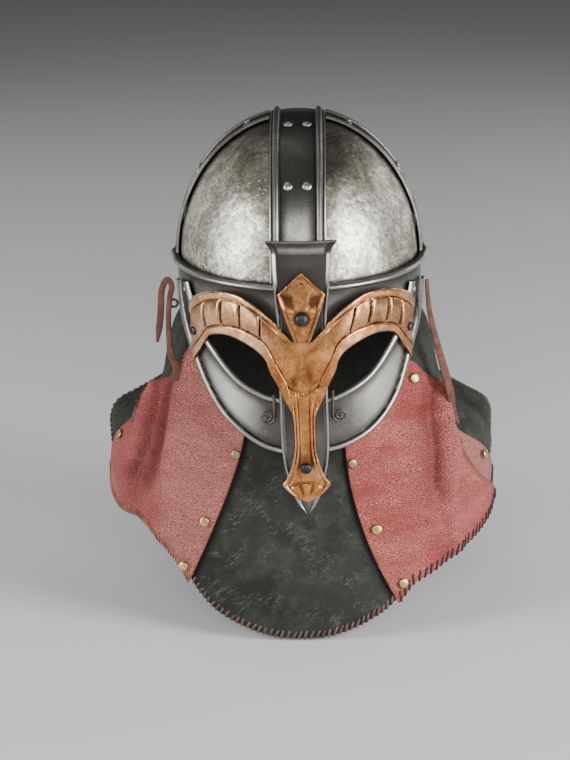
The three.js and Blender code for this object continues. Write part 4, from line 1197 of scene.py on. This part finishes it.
def bib():
    across, down = 130, 110
    piece, u, v = blank("bib_leather", across, down)
    swing = mix(-BIB_SWING, BIB_SWING, u)
    side = np.where(swing < 0, -1.0, 1.0)
    turn = np.abs(swing)
    hem = curve(*zip(*BIB), turn)
    leave = rim_z(turn, side) - 1
    z = np.where(v < BIB_TUCK, mix(leave + 10, leave, v / BIB_TUCK),
                 mix(leave, hem, (v - BIB_TUCK) / (1 - BIB_TUCK)))
    base = hanging(turn, z, side, 0)
    below = np.maximum(0, leave - z)
    soft = (0.7 * ripple(base, 45, 1.3) + 0.25 * ripple(base, 14, 8.8)) * smooth(12, 50, below)
    soft = soft * (1 - smooth(34, 42, turn))
    points = hanging(turn, z, side, np.minimum(0.5, soft))
    lay(piece, points)
    # Painted shadow on the bib just inside each red panel's inner edge.
    red_edge_shadow = np.zeros_like(turn)
    for table, way in ((RED_LEFT, 1), (RED_RIGHT, -1)):
        top_turn, top_z, hem_turn, hem_z, bow = table[0]
        share = np.clip((top_z - z) / (top_z - hem_z), 0, 1)
        border = mix(top_turn, hem_turn, share) + bow * 4 * share * (1 - share)
        red_edge_shadow = np.maximum(red_edge_shadow, (side == way) * smooth(3.4, 0.6, border - turn))
    # Painted shade just under the rim and beside the red panels.
    mark(piece, "shade", np.clip(0.85 * (1 - smooth(0, 16, below)) + 0.95 * red_edge_shadow, 0, 1))
    hang_hide(piece, grid_rows(points, across, down), (DARK_HIDE, FLESH_SIDE), LEATHER, "dark_leather",
              "bib", flat=(0.22, 0.17), rests_on=["eye_guard_left", "eye_guard_right"],
              count=50, finish=TAN_THREAD, slant=2.0, reach=5.2, radius=1.0)


# Fold lines in the red hides: height, then turn from the face.
FRONT_RIDGE = [(-182, 52.6), (-161, 53), (-137, 54.8), (-116, 58.8), (-101, 62.2)]
RIGHT_VALLEY = [(-194, 63.6), (-179, 61.8), (-161, 60.4), (-140, 60), (-121, 61.6), (-101, 64.8)]
REAR_RIDGE = [(-191, 70.2), (-172, 68.4), (-138, 68.6), (-112, 72.4)]
LEFT_VALLEY = [(-178, 55.2), (-162, 57.2), (-147, 59.4), (-131, 61), (-117, 63.6), (-105, 67.2)]
LEFT_RIDGE = [(-184, 58), (-168, 60.2), (-149, 63.2), (-134, 64.4), (-119, 66.6), (-108, 69.4)]
FLAP_EDGE = [(-199, 81), (-190, 75), (-182, 71.6), (-169, 68.6), (-157, 67.4), (-141, 67), (-132, 67.4)]


def line(table, z):
    return np.interp(z, *zip(*table))


def red_folds(turn, z, side, below):
    """The hide's own folds: valley and ridges, and on the left a flap tucked under; with painted shade in the
    valleys and past the flap's edge, painted light on the ridges and the front face, the paler tucked flap
    and its raw edge.
    """
    reach = smooth(12, 42, below) * (1 - 0.75 * smooth(-165, -205, z))
    if side < 0:
        front, valley, rear = line(FRONT_RIDGE, z), line(RIGHT_VALLEY, z), line(REAR_RIDGE, z)
        folds = 4.2 * bump(turn, front, 3.0) - 6.4 * bump(turn, valley, 3.4) + 6.0 * bump(turn, rear, 4.2)
        folds = reach * folds
        # Painted shade down the valley.
        deep = reach * np.maximum(bump(turn, valley, 4.0), 0.85 * bump(turn, valley + 4.4, 2.0))
        deep = np.maximum(deep, 0.65 * bump(turn, valley + 2.0, 6.5) * bump(z, -184, 22))
        # Painted light: the hide in front of the front ridge is paler.
        return folds, deep, 0.6 * smooth(3, -3, turn - front), 0 * turn
    valley, ridge, edge = line(LEFT_VALLEY, z), line(LEFT_RIDGE, z), line(FLAP_EDGE, z)
    folds = reach * (6.4 * bump(turn, ridge + 0.8, 2.6) - 5.0 * bump(turn, valley - 1.0, 2.8))
    # Painted shade down the valley.
    deep = reach * np.maximum(bump(turn, valley, 1.8), 0.65 * bump(turn, valley - 3.0, 4.2))
    open_to = smooth(-134, -139, z)
    under = smooth(-0.15, 0.35, turn - edge) * open_to
    folds = folds * (1 - under) - 3.0 * under + 1.2 * open_to * bump(turn, edge - 0.9, 0.9)
    raw = open_to * bump(turn, edge - 0.55, 0.75)
    # Painted shadow just past the flap's edge.
    deep = np.maximum(deep, open_to * bump(turn, edge + 0.75, 0.65))
    # The tucked flap is paler; a painted highlight runs along the ridge.
    return folds, deep, np.maximum(under, 0.5 * reach * bump(turn, ridge + 0.8, 1.4)), raw


LEFT_LACING = {"count": 30, "finish": DARK_THREAD, "slant": 2.6, "reach": 6.2, "radius": 0.8, "over": 1.2}
RIGHT_LACING = {"count": 54, "finish": PALE_THREAD, "slant": 1.5, "reach": 4.0, "radius": 0.62, "over": 2.2}


def red_panel(word, table, side, lacing):
    name = "red_panel_" + word
    across, down = 210, 135
    piece, u, v = blank(name + "_leather", across, down)
    t = u * (len(table) - 1)
    columns = (np.interp(t, range(len(table)), column) for column in zip(*table))
    top_turn, top_z, hem_turn, hem_z, bow = columns
    turn = mix(top_turn, hem_turn, v) + bow * 4 * v * (1 - v)
    z = mix(top_z, hem_z, v)
    sides = side + 0 * turn
    base = hanging(turn, z, sides, RED_FACE)
    below = np.maximum(0, rim_z(turn, sides) - z)
    creases = 0.45 * ripple(base * np.array([1, 1, 0.5]), 11, 2.6) * smooth(10, 40, below)
    folds, deep, pale_and_highlight, raw = red_folds(turn, z, side, below)
    lift = RED_FACE + fold(turn, z, sides) * 1.15 + folds + creases
    points = hanging(turn, z, sides, np.maximum(lift, 2.2))
    lay(piece, points)
    # Painted shade along the cut edges and in the folds.
    edge = np.minimum(np.minimum(u, 1 - u) * 130, np.minimum(v, 1 - v) * 140)
    mark(piece, "shade", np.clip(0.5 * np.exp(-edge / 1.2) + 0.95 * deep, 0, 1))
    # Paler tucked flap, with painted light on the ridges and the front face.
    mark(piece, "pale", pale_and_highlight)
    mark(piece, "raw", raw)
    hang_hide(piece, grid_rows(points, across, down), (RED_HIDE, TAN_THREAD), RED_FACE - RED_BACK,
              "red_leather", name, flat=(0.16, 0.16), rests_on=["bib", "neck_curtain"], **lacing)


neck_curtain()
bib()
red_panel("left", RED_LEFT, 1, LEFT_LACING)
red_panel("right", RED_RIGHT, -1, RIGHT_LACING)


# Small iron ring beside the right cheek.
RING_RADIUS = 3.2
RING_WIRE = 1.0
RING_PLACE = (-103.8, -41, -33)


def thong_ring():
    deselect()
    bpy.ops.mesh.primitive_torus_add(major_segments=48, minor_segments=18, major_radius=RING_RADIUS * MM,
                                     minor_radius=RING_WIRE * MM)
    piece = bpy.context.object
    piece.name = "thong_ring_right_wire"
    open_edit(piece)
    bpy.ops.transform.rotate(value=math.pi / 2, orient_axis="X", center_override=(0, 0, 0))
    bpy.ops.transform.translate(value=tuple(p * MM for p in RING_PLACE))
    close_edit()
    mark(piece, "shade", np.zeros(len(piece.data.vertices)))
    soften(piece, ROUND_ANGLE)
    dress(piece, BLACK_STEEL)
    seat(piece, "dark_steel", "thong_ring_right")


thong_ring()


# Rivets: one domed head, made once and set where each shank goes through.
def rivet_head():
    deselect()
    bpy.ops.mesh.primitive_uv_sphere_add(segments=40, ring_count=24, radius=1)
    piece = bpy.context.object
    piece.name = "rivet_head"
    open_edit(piece)
    bpy.ops.mesh.bisect(plane_co=(0, 0, 0.05), plane_no=(0, 0, -1), clear_outer=True, use_fill=True)
    close_edit()
    return piece


def set_rivet(master, name, finish, slot, squash):
    foot, away, radius, height = rivet_place(corners(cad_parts[name]))
    take(master)
    bpy.ops.object.duplicate(linked=False)
    piece = call(bpy.context.object, name + "_head")
    co = corners(piece)
    r = np.hypot(co[:, 0], co[:, 1])
    co[:, 2] = np.maximum(co[:, 2], 0) ** squash
    spots = [Vector((p[0] * 1.3 + len(name), p[1] * 1.3 + away.x * 9, 3.0)) for p in co]
    wobble = np.array([noise.noise(spot) for spot in spots])
    co[:, 2] *= 1 + 0.07 * wobble
    co[:, :2] *= (1 + 0.03 * wobble)[:, None]
    spin = Vector((0, 0, 1)).rotation_difference(away).to_matrix()
    turned = np.array([spin @ Vector((p[0] * radius, p[1] * radius, p[2] * height)) for p in co])
    piece.data.vertices.foreach_set("co", (turned + np.array(foot)).ravel())
    piece.data.update()
    # Painted shade round the rim of the head.
    mark(piece, "shade", np.clip(0.9 * smooth(0.86, 1.0, r), 0, 1))
    soften(piece, 55)
    dress(piece, finish)
    seat(piece, slot, name)


def rivet_place(verts):
    """Foot, direction, radius and height of a domed head, from its solid's points."""
    middle = verts.mean(0)
    _, _, ways = np.linalg.svd(verts - middle)
    axis = ways[2]
    along = (verts - middle) @ axis
    spread = np.linalg.norm((verts - middle) - np.outer(along, axis), axis=1)
    if along[spread > spread.max() * 0.98].mean() > 0:
        axis = -axis
        along = -along
    foot = middle + axis * along.min()
    return foot, Vector(axis), spread.max(), along.max() - along.min()


# The first row that a rivet's name starts with gives its finish, slot and how flat its head is.
ROUND_HEAD = 0.9
FLAT_HEAD = 0.35
RIVETS = [(("crest_rivet", "cross_rivet", "guard_rivet"), RIVET_STEEL, "steel", ROUND_HEAD),
          (("mask_rivet_crest", "mask_rivet_nose"), BLACK_STEEL, "dark_steel", ROUND_HEAD),
          ("mask_rivet", BLACK_STEEL, "steel", ROUND_HEAD),
          ("brass_rivet_inner", DULL_BRASS, "brass", FLAT_HEAD),
          ("brass_rivet", BRASS, "brass", FLAT_HEAD)]
HEAD = rivet_head()
for node_name in sorted(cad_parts):
    for start, finish, slot, squash in RIVETS:
        if node_name.startswith(start):
            set_rivet(HEAD, node_name, finish, slot, squash)
            break
bpy.data.objects.remove(HEAD)


# Plain pale floor and soft studio light.
FLOOR_RADIUS = 40.0
FLOOR_Z = -0.2975


def plain_floor():
    deselect()
    bpy.ops.mesh.primitive_circle_add(vertices=96, radius=FLOOR_RADIUS, fill_type="NGON")
    piece = bpy.context.object
    piece.name = "plain_floor"
    for v in piece.data.vertices:
        v.co.z = FLOOR_Z
    made, tree, shader, place = new_finish("pale_floor")
    soft = cloud(tree, place, 1.2, 3.0)
    base = blend(tree, soft, (0.74, 0.74, 0.745), (0.80, 0.80, 0.805))
    tree.links.new(base, shader.inputs["Base Color"])
    shader.inputs["Roughness"].default_value = 0.8
    dress(piece, made)


def soft_light(name, place, aim, size, watts):
    data = bpy.data.lights.new(name, "AREA")
    data.shape = "RECTANGLE"
    data.size, data.size_y = size
    data.energy = watts
    lamp = bpy.data.objects.new(name, data)
    bpy.context.scene.collection.objects.link(lamp)
    lamp.location = place
    lamp.rotation_mode = "QUATERNION"
    lamp.rotation_quaternion = (Vector(aim) - Vector(place)).to_track_quat("-Z", "Y")
    lamp.visible_camera = False


plain_floor()
soft_light("left_box", (-1.80, -0.80, 0.45), (0, 0, 0), (0.9, 1.4), 36)
soft_light("right_box", (1.72, -1.00, 0.45), (0, 0, 0), (0.9, 1.4), 62)
soft_light("front_fill", (0.0, -2.3, 0.95), (0, 0, -0.1), (1.4, 0.9), 24)
soft_light("top_box", (-0.55, 0.15, 2.0), (0, 0, 0), (1.5, 1.5), 4.5)
soft_light("back_left", (1.70, 1.45, 0.55), (0, 0, 0), (1.0, 1.5), 9)
soft_light("back_right", (-1.70, 1.45, 0.55), (0, 0, 0), (1.0, 1.5), 5)
world = bpy.data.worlds.new("studio")
world.use_nodes = True
sky = world.node_tree.nodes["Background"].inputs
sky[0].default_value = (0.5, 0.51, 0.53, 1)
sky[1].default_value = 0.11
bpy.context.scene.world = world

bpy.context.view_layer.update()
